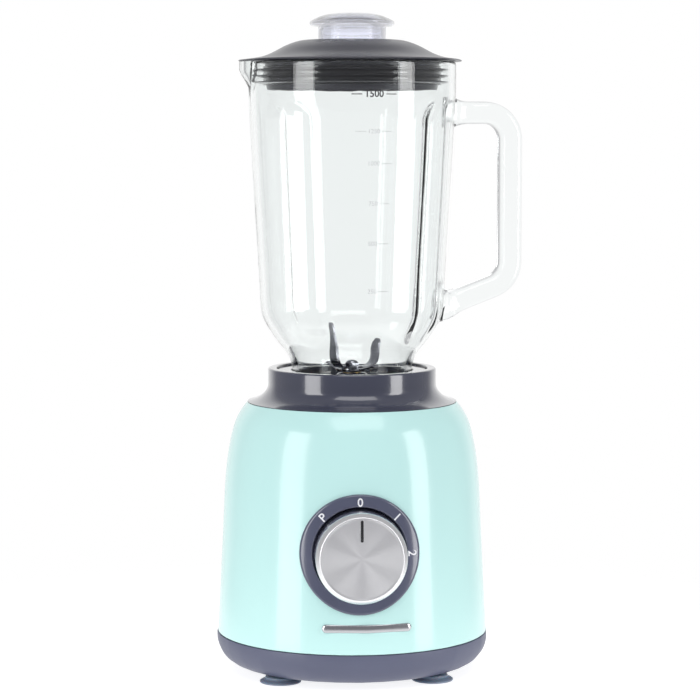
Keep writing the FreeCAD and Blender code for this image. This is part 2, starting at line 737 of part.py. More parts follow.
nodes = {
    "body_shell": body_shell(),
    "top_collar": top_collar(),
    "base_cover": base_cover(),
    "suction_feet": suction_feet(),
    "cover_screws": group(around(screw(1.8, 3.5, 6.8, 9.2, 47, cover_screw_radius, 0), cover_screw_angles)),
    "collar_screws": group(around(screw(1.4, 3.0, 156, 158, 165, collar_screw_radius, 0), collar_screw_angles)),
    "cord_gland": cord_gland(),
    "knob_bezel": knob_bezel(),
    "trim_bar": trim_bar(),
    "upper_motor_bracket": upper_motor_bracket(),
    "lower_motor_bracket": lower_motor_bracket(),
    "upper_bearing": ball_bearing(125.0),
    "lower_bearing": ball_bearing(35.0),
    "motor_dampers": motor_dampers(),
    "damper_screws": damper_screws(),
    "motor_screws": motor_screws(),
    "motor_spacers": motor_spacers(),
    "stator_core": stator_core(),
    "field_coils": field_coils(),
    "brush_holders": brush_holders(),
    "carbon_brushes": carbon_brushes(),
    "brush_springs": brush_springs(),
    "shaft_seal": shaft_seal(),
    "rotary_switch": rotary_switch(),
    "switch_bracket": switch_bracket(),
    "bracket_screws": bracket_screws(),
    "switch_nut": switch_nut(),
    "interlock_switch": interlock_switch(),
    "interlock_cradle": interlock_cradle(),
    "cradle_screws": cradle_screws(),
    "interlock_spring": interlock_spring(),
    "control_board": control_board(),
    "board_parts": board_parts(),
    "suppressor_capacitor": suppressor_capacitor(),
    "terminal_block": terminal_block(),
    "motor_shaft": motor_shaft(),
    "armature_core": armature_core(),
    "armature_windings": armature_windings(),
    "commutator": commutator(),
    "cooling_fan": cooling_fan(),
    "drive_coupling": drive_coupling(),
    "interlock_pin": interlock_pin(),
    "knob_body": knob_body(),
    "knob_face": knob_face(),
    "knob_pointer": knob_pointer(),
    "switch_shaft": switch_shaft(),
    "jug_glass": on_jug(jug_glass()),
    "jug_base_ring": jug_base_ring(),
    "blade_carrier": blade_carrier(),
    "carrier_gasket": carrier_gasket(),
    "blade_bush": blade_bush(),
    "blade_shaft": blade_shaft(),
    "jug_coupling": jug_coupling(),
    "blade_washer": blade_washer(),
    "lower_blade": lower_blade(),
    "upper_blade": upper_blade(),
    "blade_nut": blade_nut(),
    "lid": on_jug(lid()),
    "lid_seal": lid_seal(),
    "measuring_cap": measuring_cap(),
}

os.makedirs("parts", exist_ok=True)
for name, shape in nodes.items():
    shape.exportStep("parts/" + name + ".step")
    solids = len(shape.Solids)
    print(name, solids, "solids", round(shape.Volume / 1000, 2), "cm3", "ok" if shape.isValid() else "INVALID")
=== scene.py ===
"""Countertop blender: finished surfaces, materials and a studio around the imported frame.

Lengths named below are millimetres in the part's own frame; meshes are written in metres.
The knob faces -Y, the spout is towards -X, and the jug stands turned a little in its socket.
"""
import json
import math

import bmesh
import bpy
import numpy as np
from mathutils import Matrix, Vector


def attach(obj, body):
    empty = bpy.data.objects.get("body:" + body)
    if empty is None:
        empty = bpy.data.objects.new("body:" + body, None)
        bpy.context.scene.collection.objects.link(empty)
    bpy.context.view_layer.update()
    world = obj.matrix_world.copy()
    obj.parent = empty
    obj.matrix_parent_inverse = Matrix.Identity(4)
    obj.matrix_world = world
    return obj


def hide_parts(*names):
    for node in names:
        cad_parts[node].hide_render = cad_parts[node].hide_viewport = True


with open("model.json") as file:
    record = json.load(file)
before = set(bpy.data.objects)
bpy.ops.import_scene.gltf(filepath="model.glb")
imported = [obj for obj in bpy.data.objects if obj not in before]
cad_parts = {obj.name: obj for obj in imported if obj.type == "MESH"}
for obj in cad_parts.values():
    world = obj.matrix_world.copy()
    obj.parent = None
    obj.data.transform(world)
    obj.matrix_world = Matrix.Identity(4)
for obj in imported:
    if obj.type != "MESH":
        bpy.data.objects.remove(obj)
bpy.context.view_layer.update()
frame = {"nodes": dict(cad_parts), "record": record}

bl_info = {
    "name": "Countertop Blender Maker",
    "version": (1, 0, 0),
    "blender": (4, 5, 0),
    "location": "3D View > Sidebar > Countertop",
    "description": "Builds the finished surfaces of a glass-jug countertop blender",
    "category": "Object",
}

MM = 0.001
JUG_TURN = math.radians(8.5)
KNOB_HEIGHT = 84.0
SHELL = [(84.4, 23.4), (82.8, 53.0), (80.5, 98.0), (78.1, 132.0),
         (75.3, 147.3), (71.4, 158.8), (66.3, 166.3), (65.3, 167.5)]
JUG = [(37.5, 188.8), (39.7, 196.3), (45.3, 203.8), (50.6, 211.3), (55.0, 218.8),
       (57.4, 234.0), (60.3, 286.0), (62.5, 324.0), (64.4, 361.0)]
JUG_WALL = 4.0
FLUTE_BAR, FLUTE_DEPTH = 20.0, 3.3
REAR_SLOTS, COVER_SLOTS = (56.5, 91.5), (17.0, 39.0)
COVER_FLOOR = 3.6
PIN_BACK, PIN_GUIDE = 42.0, 2.7
FOOT_REACH, FOOT_ANGLES = 66.0, (45, 135, 225, 315)
BEZEL_IN, BEZEL_OUT = 29.6, 34.8


# --- Outlines ----------------------------------------------------------------------------
def smooth_curve(points, steps):
    """Points along a natural cubic through the given ones, spaced evenly along its chords."""
    p = np.array(points, float)
    t = np.concatenate([[0], np.cumsum(np.linalg.norm(np.diff(p, axis=0), axis=1))])
    h = np.diff(t)
    matrix = np.eye(len(p))
    right = np.zeros_like(p)
    for i in range(1, len(p) - 1):
        matrix[i, i - 1:i + 2] = h[i - 1], 2 * (h[i - 1] + h[i]), h[i]
        right[i] = 6 * ((p[i + 1] - p[i]) / h[i] - (p[i] - p[i - 1]) / h[i - 1])
    m = np.linalg.solve(matrix, right)
    s = np.linspace(0, t[-1], steps)
    k = np.clip(np.searchsorted(t, s, side="right") - 1, 0, len(p) - 2)
    u, v, w = (s - t[k])[:, None], (t[k + 1] - s)[:, None], h[k][:, None]
    return (m[k] * v**3 + m[k + 1] * u**3) / (6 * w) + (p[k] / w - m[k] * w / 6) * v \
        + (p[k + 1] / w - m[k + 1] * w / 6) * u


def rounded(corners, steps=6):
    """An outline through (radius, height, rounding) corners, each rounded by a parabola arc."""
    c = np.array([corner[:2] for corner in corners], float)
    out = []
    for i, corner in enumerate(corners):
        size = corner[2] if len(corner) > 2 else 0.0
        if size <= 0 or i in (0, len(corners) - 1):
            out.append(c[i][None])
            continue
        back, ahead = c[i - 1] - c[i], c[i + 1] - c[i]
        d = min(size, 0.48 * np.linalg.norm(back), 0.48 * np.linalg.norm(ahead))
        a = c[i] + back / np.linalg.norm(back) * d
        b = c[i] + ahead / np.linalg.norm(ahead) * d
        t = np.linspace(0, 1, steps)[:, None]
        out.append((1 - t)**2 * a + 2 * t * (1 - t) * c[i] + t**2 * b)
    return np.concatenate(out)


def outline_normals(outline):
    """Unit vectors square to an outline of (radius, height) points, on its right-hand side."""
    d = np.gradient(outline, axis=0)
    d /= np.maximum(np.linalg.norm(d, axis=1), 1e-9)[:, None]
    return np.stack([d[:, 1], -d[:, 0]], axis=1)


def arc_between(centre, radius, start, end, steps=8):
    """Points of a circle's arc, from one angle in degrees to another."""
    a = np.radians(np.linspace(start, end, steps))
    return np.stack([centre[0] + radius * np.cos(a), centre[1] + radius * np.sin(a)], axis=1)


# --- Meshes ------------------------------------------------------------------------------
def grid_faces(rows, columns, wrap_rows=False, wrap_columns=True):
    """Corner numbers of the quads of a grid whose points are stored row by row."""
    i = np.arange(rows if wrap_rows else rows - 1)
    j = np.arange(columns if wrap_columns else columns - 1)
    i, j = np.meshgrid(i, j, indexing="ij")
    ni, nj = (i + 1) % rows, (j + 1) % columns
    quads = np.stack([i * columns + j, i * columns + nj, ni * columns + nj, ni * columns + j], axis=-1)
    return quads.reshape(-1, 4)


def make_object(name, points, faces, flat=False):
    """A mesh object from points in millimetres: doubles merged, faces turned outwards."""
    mesh = bpy.data.meshes.new(name)
    mesh.from_pydata((np.asarray(points) * MM).tolist(), [], [list(face) for face in faces])
    bm = bmesh.new()
    bm.from_mesh(mesh)
    bmesh.ops.remove_doubles(bm, verts=bm.verts, dist=2e-7)
    bmesh.ops.dissolve_degenerate(bm, edges=bm.edges, dist=1e-7)
    bmesh.ops.recalc_face_normals(bm, faces=bm.faces)
    bm.to_mesh(mesh)
    bm.free()
    mesh.polygons.foreach_set("use_smooth", np.full(len(mesh.polygons), not flat))
    piece = bpy.data.objects.new(name, mesh)
    bpy.context.scene.collection.objects.link(piece)
    return piece


def full_turn(steps):
    """Angles all the way round, evenly spaced."""
    return np.linspace(0, 2 * math.pi, steps, endpoint=False)


def around_z(radius, angles, z):
    """Points at a radius, an angle and a height about Z."""
    return np.stack([radius * np.cos(angles), radius * np.sin(angles), z + 0 * angles], axis=-1)


def lathe_points(outline, angles):
    """Grid of an outline of (radius, height) carried round Z: one row for each outline point."""
    return around_z(outline[:, 0][:, None], angles, outline[:, 1][:, None])


def skin(name, grid, wrap_rows=True):
    """A surface through a grid of points whose columns go all the way round."""
    rows, columns = grid.shape[:2]
    return make_object(name, grid.reshape(-1, 3), grid_faces(rows, columns, wrap_rows=wrap_rows))


def lathe(name, outline, columns=192, closed=True):
    """Surface of revolution about Z; a closed outline makes a closed ring."""
    return skin(name, lathe_points(np.asarray(outline, float), full_turn(columns)), closed)


def move_points(piece, rule):
    """Moves a mesh's points by a rule on the array of their places in millimetres."""
    mesh = piece.data
    co = np.zeros(len(mesh.vertices) * 3)
    mesh.vertices.foreach_get("co", co)
    moved = rule(co.reshape(-1, 3) / MM) * MM
    mesh.vertices.foreach_set("co", moved.reshape(-1))
    mesh.update()
    return piece


def turn_points(p, angle):
    """Points turned about Z by an angle in radians."""
    c, s = math.cos(angle), math.sin(angle)
    return np.stack([p[..., 0] * c - p[..., 1] * s, p[..., 0] * s + p[..., 1] * c, p[..., 2]], axis=-1)


def to_front(p):
    """Points built about Z laid on the knob's axis, which points to the front."""
    return np.stack([p[..., 0], -p[..., 2], p[..., 1] + KNOB_HEIGHT], axis=-1)


def join(name, pieces):
    """One mesh object out of several, as loose shells side by side."""
    bm = bmesh.new()
    for piece in pieces:
        bm.from_mesh(piece.data)
        bpy.data.objects.remove(piece)
    mesh = bpy.data.meshes.new(name)
    bm.to_mesh(mesh)
    bm.free()
    mesh.polygons.foreach_set("use_smooth", np.full(len(mesh.polygons), True))
    joined = bpy.data.objects.new(name, mesh)
    bpy.context.scene.collection.objects.link(joined)
    return joined


def applied(piece):
    """Replaces a piece's mesh by what its modifiers make of it."""
    graph = bpy.context.evaluated_depsgraph_get()
    mesh = bpy.data.meshes.new_from_object(piece.evaluated_get(graph))
    piece.modifiers.clear()
    piece.data = mesh
    return piece


def combined(piece, operation, tool):
    """Joins a tool to a piece or cuts it away, and removes the tool."""
    step = piece.modifiers.new("combine", "BOOLEAN")
    step.operation, step.solver, step.object = operation, "EXACT", tool
    applied(piece)
    bpy.data.objects.remove(tool)
    return piece


def sharp_edges(piece, degrees):
    """Keeps smooth shading only across edges flatter than the angle."""
    limit = math.radians(degrees)
    bm = bmesh.new()
    bm.from_mesh(piece.data)
    for edge in bm.edges:
        edge.smooth = len(edge.link_faces) != 2 or edge.calc_face_angle(0) < limit
    bm.to_mesh(piece.data)
    bm.free()
    return piece


def place(piece, body, slot, *replaced, material=None):
    """Gives a finished piece its material, its body and the CAD nodes it stands for."""
    piece.data.materials.clear()
    piece.data.materials.append(material or surface(slot))
    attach(piece, body)
    if replaced:
        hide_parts(*replaced)
    return piece


# --- Shader groups -----------------------------------------------------------------------
NUMBER, COLOUR, VECTOR = "NodeSocketFloat", "NodeSocketColor", "NodeSocketVector"


def add_node(tree, kind, **values):
    """A node with the given properties set on it, or on its inputs where one has that name."""
    node = tree.nodes.new(kind)
    for key, value in values.items():
        if hasattr(node, key):
            setattr(node, key, value)
        else:
            node.inputs[key.replace("_", " ")].default_value = value
    return node


def wire(tree, *links):
    """Links nodes; each link is (node, output, node, input)."""
    for source, output, target, entry in links:
        tree.links.new(source.outputs[output], target.inputs[entry])


def shared_group(name, inputs, outputs, fill):
    """A shader group with named inputs and outputs, made by fill when it is first asked for."""
    if name in bpy.data.node_groups:
        return bpy.data.node_groups[name]
    group = bpy.data.node_groups.new(name, "ShaderNodeTree")
    for label, kind, value in inputs:
        socket = group.interface.new_socket(label, in_out="INPUT", socket_type=kind)
        if value is not None:
            socket.default_value = value
    for label, kind in outputs:
        group.interface.new_socket(label, in_out="OUTPUT", socket_type=kind)
    fill(group, group.nodes.new("NodeGroupInput"), group.nodes.new("NodeGroupOutput"))
    return group


def variation_group():
    """Slow noise over the object, mapped between Low and High: smudges and moulding flow."""
    def fill(group, start, end):
        where = add_node(group, "ShaderNodeTexCoord")
        noise = add_node(group, "ShaderNodeTexNoise", Detail=5.0, Roughness=0.55, Distortion=0.3)
        spread = add_node(group, "ShaderNodeMapRange", From_Min=0.32, From_Max=0.68)
        wire(group, (where, "Object", noise, "Vector"), (start, "Scale", noise, "Scale"),
             (noise, "Fac", spread, "Value"), (start, "Low", spread, "To Min"),
             (start, "High", spread, "To Max"), (spread, "Result", end, "Value"))

    inputs = [("Scale", NUMBER, 30.0), ("Low", NUMBER, 0.2), ("High", NUMBER, 0.3)]
    return shared_group("Surface variation", inputs, [("Value", NUMBER)], fill)


def drift_group():
    """Two near colours mixed by slow noise, so that no face is one flat colour."""
    def fill(group, start, end):
        where = add_node(group, "ShaderNodeTexCoord")
        noise = add_node(group, "ShaderNodeTexNoise", Detail=3.0, Roughness=0.5)
        spread = add_node(group, "ShaderNodeMapRange", From_Min=0.3, From_Max=0.7)
        mix = add_node(group, "ShaderNodeMix", data_type="RGBA")
        wire(group, (where, "Object", noise, "Vector"), (start, "Scale", noise, "Scale"),
             (noise, "Fac", spread, "Value"), (spread, "Result", mix, 0), (start, "Colour A", mix, 6),
             (start, "Colour B", mix, 7), (mix, 2, end, "Colour"))

    inputs = [("Scale", NUMBER, 25.0), ("Colour A", COLOUR, None), ("Colour B", COLOUR, None)]
    return shared_group("Colour drift", inputs, [("Colour", COLOUR)], fill)


def grain_group():
    """Fine moulded texture: cells under soft noise, as a height for a Bump node."""
    def fill(group, start, end):
        where = add_node(group, "ShaderNodeTexCoord")
        cells = add_node(group, "ShaderNodeTexVoronoi", feature="SMOOTH_F1")
        noise = add_node(group, "ShaderNodeTexNoise", Detail=4.0)
        mix = add_node(group, "ShaderNodeMix", data_type="FLOAT")
        for node in (cells, noise):
            wire(group, (where, "Object", node, "Vector"), (start, "Scale", node, "Scale"))
        wire(group, (start, "Cells", mix, 0), (noise, "Fac", mix, 2), (cells, "Distance", mix, 3),
             (mix, 0, end, "Height"))

    inputs = [("Scale", NUMBER, 900.0), ("Cells", NUMBER, 0.5)]
    return shared_group("Moulded grain", inputs, [("Height", NUMBER)], fill)


def turning_group():
    """Rings about a chosen axis: noise read along the distance from it, as left by a lathe tool."""
    def fill(group, start, end):
        where = add_node(group, "ShaderNodeTexCoord")
        away = add_node(group, "ShaderNodeVectorMath", operation="SUBTRACT")
        across = add_node(group, "ShaderNodeVectorMath", operation="MULTIPLY")
        length = add_node(group, "ShaderNodeVectorMath", operation="LENGTH")
        noise = add_node(group, "ShaderNodeTexNoise", noise_dimensions="1D", Detail=3.0, Roughness=0.7)
        wire(group, (where, "Object", away, 0), (start, "Centre", away, 1), (away, 0, across, 0),
             (start, "Across", across, 1), (across, 0, length, 0), (length, "Value", noise, "W"),
             (start, "Scale", noise, "Scale"), (noise, "Fac", end, "Rings"))

    inputs = [("Centre", VECTOR, (0, 0, 0)), ("Across", VECTOR, (1, 1, 0)), ("Scale", NUMBER, 4000.0)]
    return shared_group("Turning marks", inputs, [("Rings", NUMBER)], fill)


def put_group(tree, group, **values):
    """A group placed in a material, with its own input values."""
    node = tree.nodes.new("ShaderNodeGroup")
    node.node_tree = group
    for key, value in values.items():
        node.inputs[key.replace("_", " ")].default_value = value
    return node


# --- Materials ---------------------------------------------------------------------------
def finish(name, colour, rough, *, second=None, drift=22.0, smudge=18.0, grain=None, metal=0.0, **plain):
    """A Principled material: drifting colour, smudged roughness and, where asked, a grain.

    colour and second are the two ends of the colour drift, rough is (low, high), grain is
    (scale, share of cells, height in metres), and plain holds values for the shader's own sockets.
    """
    if name in bpy.data.materials:
        return bpy.data.materials[name]
    material = bpy.data.materials.new(name)
    material.use_nodes = True
    tree = material.node_tree
    shader = tree.nodes["Principled BSDF"]
    second = second or tuple(min(1.0, c * 1.06 + 0.002) for c in colour)
    paint = put_group(tree, drift_group(), Scale=drift, Colour_A=(*colour, 1), Colour_B=(*second, 1))
    gloss = put_group(tree, variation_group(), Scale=smudge, Low=rough[0], High=rough[1])
    wire(tree, (paint, "Colour", shader, "Base Color"), (gloss, "Value", shader, "Roughness"))
    shader.inputs["Metallic"].default_value = metal
    if grain:
        height = put_group(tree, grain_group(), Scale=grain[0], Cells=grain[1])
        bump = add_node(tree, "ShaderNodeBump", Strength=1.0, Distance=grain[2])
        wire(tree, (height, "Height", bump, "Height"), (bump, "Normal", shader, "Normal"))
    for key, value in plain.items():
        shader.inputs[key.replace("_", " ")].default_value = value
    return material


FINISHES = {
    "lid_plastic": ("Lid satin", (0.052, 0.053, 0.066), (0.27, 0.36), dict(
        drift=18.0, smudge=22.0, grain=(900.0, 0.3, 0.000003), Coat_Weight=0.12, Coat_Roughness=0.2)),
    "lid_rubber": ("Seal rubber", (0.012, 0.012, 0.017), (0.12, 0.2), dict(
        smudge=30.0, Coat_Weight=0.3, Coat_Roughness=0.08)),
    "foot_rubber": ("Foot rubber", (0.17, 0.215, 0.29), (0.3, 0.42), dict(
        second=(0.2, 0.25, 0.33), smudge=60.0, grain=(800.0, 0.3, 0.00002), Subsurface_Weight=0.25,
        Subsurface_Scale=0.004)),
    "black_plastic": ("Black plastic", (0.012, 0.012, 0.015), (0.3, 0.45), dict(
        grain=(1500.0, 0.5, 0.00002))),
    "black_rubber": ("Black rubber", (0.02, 0.02, 0.022), (0.5, 0.68), dict(grain=(900.0, 0.4, 0.00003))),
    "bright_trim": ("Bright metal", (0.52, 0.52, 0.54), (0.12, 0.22), dict(
        metal=1.0, smudge=60.0, grain=(500.0, 0.0, 0.000004))),
    "blade_steel": ("Blade steel", (0.34, 0.34, 0.37), (0.14, 0.28), dict(
        metal=1.0, smudge=160.0, grain=(1200.0, 0.0, 0.00001))),
    "zinc_steel": ("Zinc plate", (0.56, 0.56, 0.52), (0.25, 0.42), dict(
        second=(0.62, 0.58, 0.5), metal=1.0, drift=90.0, smudge=80.0, grain=(900.0, 0.4, 0.00001))),
    "bearing_steel": ("Ground steel", (0.5, 0.5, 0.51), (0.15, 0.3), dict(metal=1.0, smudge=120.0)),
    "cap_clear": ("Clear plastic", (0.86, 0.88, 0.99), (0.0, 0.03), dict(
        second=(0.84, 0.86, 0.985), grain=(60.0, 0.0, 0.00004), smudge=60.0, Transmission_Weight=1.0, IOR=1.4,
        Alpha=0.55)),
    "copper_wire": ("Copper wire", (0.55, 0.2, 0.07), (0.25, 0.45), dict(
        second=(0.68, 0.3, 0.12), metal=1.0, drift=240.0, smudge=200.0, grain=(1400.0, 0.8, 0.0001))),
    "laminated_steel": ("Laminated steel", (0.16, 0.16, 0.17), (0.35, 0.55), dict(
        metal=1.0, drift=150.0, grain=(1600.0, 0.2, 0.00004))),
    "brass_plate": ("Brass", (0.62, 0.42, 0.14), (0.22, 0.4), dict(metal=1.0, smudge=120.0, drift=120.0)),
    "board_green": ("Board green", (0.02, 0.13, 0.05), (0.3, 0.5), dict(
        second=(0.03, 0.17, 0.08), drift=160.0, grain=(900.0, 0.5, 0.00002))),
    "part_ivory": ("Part ivory", (0.58, 0.53, 0.38), (0.3, 0.45), dict(grain=(1200.0, 0.4, 0.00001))),
    "nylon": ("Nylon", (0.62, 0.61, 0.56), (0.35, 0.5), dict(
        grain=(1200.0, 0.5, 0.00002), Subsurface_Weight=0.2, Subsurface_Scale=0.002)),
    "carbon": ("Carbon", (0.018, 0.018, 0.019), (0.5, 0.7), dict(grain=(1800.0, 0.5, 0.00003))),
    "gasket_silicone": ("Silicone", (0.6, 0.6, 0.58), (0.4, 0.55), dict(
        grain=(800.0, 0.3, 0.00001), Subsurface_Weight=0.3, Subsurface_Scale=0.002)),
    "scale_print": ("Scale print", (0.58, 0.59, 0.6), (0.45, 0.6), dict(
        smudge=300.0, grain=(2500.0, 0.4, 0.00001))),
    "top_mark_print": ("Top mark print", (0.06, 0.06, 0.065), (0.45, 0.6), dict(
        smudge=300.0, grain=(2500.0, 0.4, 0.00001))),
    "dial_print": ("Dial print", (0.8, 0.81, 0.84), (0.3, 0.45), dict(
        smudge=200.0, grain=(2500.0, 0.4, 0.00001))),
}
FINISHES["coupling_plastic"] = FINISHES["black_plastic"]


def settings():
    """The colours in the panel."""
    return bpy.context.scene.countertop_finishes


def mint_lacquer():
    """Glossy lacquer in the panel's colour."""
    base = tuple(settings().lacquer)
    return finish("Mint lacquer", base, (0.16, 0.24), second=(base[0] * 1.03, base[1] * 1.01, base[2] * 1.01),
                  drift=9.0, smudge=14.0, grain=(260.0, 0.0, 0.000012), Coat_Weight=0.3, Coat_Roughness=0.06,
                  Specular_IOR_Level=0.35)


def charcoal(name, lighter, rough, **rest):
    """A finish in the panel's charcoal, made lighter by a factor."""
    return finish(name, tuple(v * lighter for v in settings().charcoal), rough, **rest)


def charcoal_gloss():
    """Polished charcoal of the collar."""
    return charcoal("Charcoal gloss", 1.0, (0.13, 0.22), drift=16.0, smudge=20.0,
                    grain=(300.0, 0.0, 0.00001), Coat_Weight=0.9, Coat_Roughness=0.05)


def bezel_gloss():
    """Lighter, softer gloss of the knob's bezel."""
    return charcoal("Bezel gloss", 1.75, (0.15, 0.25), drift=16.0, smudge=20.0,
                    grain=(300.0, 0.0, 0.00001), Coat_Weight=0.6, Coat_Roughness=0.08)


def charcoal_satin():
    """Grained satin of the base cover."""
    return charcoal("Charcoal satin", 2.1, (0.38, 0.5), drift=20.0, smudge=25.0, grain=(1500.0, 0.6, 0.00003))


def clear_glass():
    """Thick pressed glass: clear, with a faint green body and a slightly waved fire-polished skin."""
    tint = tuple(settings().glass)
    return finish("Pressed glass", tint, (0.0, 0.012), second=tint, grain=(28.0, 0.0, 0.00012), smudge=40.0,
                  Transmission_Weight=1.0, IOR=1.46)


def spun_metal():
    """Turned metal face: rings about the knob's axis, which draw its reflections out into wedges."""
    name = "Spun metal"
    if name in bpy.data.materials:
        return bpy.data.materials[name]
    material = finish(name, (0.93, 0.93, 0.94), (0.28, 0.34), metal=1.0, Anisotropic=0.95)
    tree = material.node_tree
    shader = tree.nodes["Principled BSDF"]
    marks = put_group(tree, turning_group(), Centre=(0, 0, KNOB_HEIGHT * MM), Across=(1, 0, 1), Scale=2600.0)
    bump = add_node(tree, "ShaderNodeBump", Strength=0.35, Distance=0.00001)
    lay = add_node(tree, "ShaderNodeTangent", direction_type="RADIAL", axis="Y")
    wire(tree, (marks, "Rings", bump, "Height"), (bump, "Normal", shader, "Normal"),
         (lay, "Tangent", shader, "Tangent"))
    return material


MADE_TO_ORDER = {"housing_paint": mint_lacquer, "collar_plastic": charcoal_gloss,
                 "cover_plastic": charcoal_satin, "jug_clear": clear_glass, "spun_metal": spun_metal}


def surface(slot):
    """The finish that a material slot has unless a piece says otherwise."""
    if slot in MADE_TO_ORDER:
        return MADE_TO_ORDER[slot]()
    name, colour, rough, rest = FINISHES[slot]
    return finish(name, colour, rough, **rest)


# --- Housing -----------------------------------------------------------------------------
SHELL_CURVE = smooth_curve(SHELL, 400)


def housing_radius(z):
    """Outside radius of the body shell at a height."""
    return np.interp(z, SHELL_CURVE[:, 1], SHELL_CURVE[:, 0])


def on_front(x, z, rise):
    """Points on the housing's front at a place in front view, raised by rise."""
    y = -(np.sqrt(np.maximum(housing_radius(z)**2 - x**2, 1)) + rise)
    return np.stack([x, y, z], axis=-1)


def bend_slots(rows, columns, edges, ends, half, to_length):
    """Column angles at each row, moved so that the slots' edge columns follow their round ends.

    rows are positions along the slots, columns are angles, edges are the (centre, left, right)
    column numbers of each slot, and to_length turns an angle into a distance at each row.
    """
    low, high = ends
    inside = (rows >= low) & (rows <= high)
    reach = np.minimum(rows - low, high - rows)
    width = np.where(inside & (reach < half), np.sqrt(np.maximum(half**2 - (half - reach)**2, 0)), half)
    width = np.where(inside, width, half)
    angles = np.tile(columns, (len(rows), 1))
    for centre, left, right in edges:
        angles[:, left] = columns[centre] - width / to_length
        angles[:, right] = columns[centre] + width / to_length
    return angles


def slot_columns(centres, half_angle, spacing):
    """Column angles with one each side of every slot's middle, and plain ones in between."""
    angles = []
    for c in centres:
        angles += [c - half_angle, c, c + half_angle]
    slots = np.array(centres)
    for a in np.arange(0, 2 * math.pi, spacing):
        gap = np.abs((a - slots + math.pi) % (2 * math.pi) - math.pi)
        if gap.min() > half_angle * 1.6:
            angles.append(a)
    angles = np.sort(np.array(angles) % (2 * math.pi))
    edges = []
    for c in centres:
        k = int(np.argmin(np.abs(angles - c % (2 * math.pi))))
        edges.append((k, (k - 1) % len(angles), (k + 1) % len(angles)))
    return angles, edges


def faces_in_slots(faces, columns, edges, along, ends):
    """Which faces of a grid lie between a slot's edge columns and between its ends."""
    beside = [c for _, left, _ in edges for c in (left, (left + 1) % len(columns))]
    return np.isin(faces[:, 0] % len(columns), beside) & (along > ends[0]) & (along < ends[1])


def rows_with_ends(outline, which, ends, half):
    """Sorts an outline and adds points near a slot's ends, so that they come out round."""
    extra = half * (1 - np.cos(np.linspace(0, math.pi / 2, 6)))
    wanted = np.concatenate([ends[0] + extra, ends[1] - extra])
    order = np.argsort(outline[:, which])
    added = np.zeros((len(wanted), 2))
    added[:, which] = wanted
    added[:, 1 - which] = np.interp(wanted, outline[order, which], outline[order, 1 - which])
    merged = np.concatenate([outline, added])
    return merged[np.argsort(merged[:, which])]


def thicken(piece, wall):
    """Gives an open surface its wall, towards its inner side."""
    solid = piece.modifiers.new("wall", "SOLIDIFY")
    solid.thickness = wall * MM
    solid.offset = -1.0
    solid.use_even_offset = True
    return applied(piece)


def make_shell():
    """Body shell: the outline turned about Z, less the rear air slots and the knob's opening."""
    low_edge = rounded([(82.5, 23.65, 0), (84.4, 23.5, 0.8), (84.25, 26.0, 0)], 6)[:-1]
    curve = smooth_curve(SHELL, 90)
    outline = np.concatenate([low_edge, curve[curve[:, 1] > 25.0]])
    half = 1.5
    above = outline[:, 1] > 24.4
    outline = np.concatenate([outline[~above], rows_with_ends(outline[above], 1, REAR_SLOTS, half)])
    outline = outline[np.concatenate([[True], np.linalg.norm(np.diff(outline, axis=0), axis=1) > 0.02])]
    centres = [math.radians(90 + 7 * k) for k in range(-5, 6)]
    columns, edges = slot_columns(centres, half / 80.5, math.radians(2))
    angles = bend_slots(outline[:, 1], columns, edges, REAR_SLOTS, half, housing_radius(outline[:, 1]))
    points = lathe_points(outline, angles).reshape(-1, 3)
    faces = grid_faces(len(outline), len(columns))
    x, y, z = points[faces].mean(axis=1).T
    open_knob = (np.hypot(x, z - KNOB_HEIGHT) < 31.0) & (y < 0)
    open_slots = faces_in_slots(faces, columns, edges, z, REAR_SLOTS)
    piece = make_object("body_shell_skin", points, faces[~(open_slots | open_knob)])
    return sharp_edges(thicken(piece, 2.5), 50)


def make_collar():
    """Top collar: a flared skirt, an upright rim, the jug's socket and the interlock pin's guide."""
    flare = smooth_curve([(65.3, 167.9), (62.6, 168.6), (58.2, 170.5), (54.6, 173.6), (52.7, 177.2),
                          (52.5, 180)], 28)
    rim = rounded([(52.5, 180.0), (52.5, 188.8, 1.5), (47.0, 188.8, 1.0), (47.0, 168.0, 1.2),
                   (8.2, 168.0, 0.5), (8.2, 162.0)], 7)
    under = rounded([(8.2, 162.0), (9.8, 162.0, 0.3), (9.8, 165.0, 0.5), (59.2, 165.0, 0.5),
                     (59.2, 161.2, 0.4), (61.6, 161.2, 0.4), (61.6, 167.3, 0.2), (64.8, 167.3, 0.3),
                     (65.3, 167.9)], 4)
    collar = lathe("collar_skin", np.concatenate([flare, rim[1:], under[1:-1]]), 256)
    guide = [(0, 160.0), (PIN_GUIDE, 160.0), (PIN_GUIDE, 172.0), (0, 172.0)]
    hole = move_points(lathe("pin_hole", guide, 48, closed=False), lambda p: p + np.array([0, PIN_BACK, 0]))
    return sharp_edges(combined(collar, "DIFFERENCE", hole), 35)


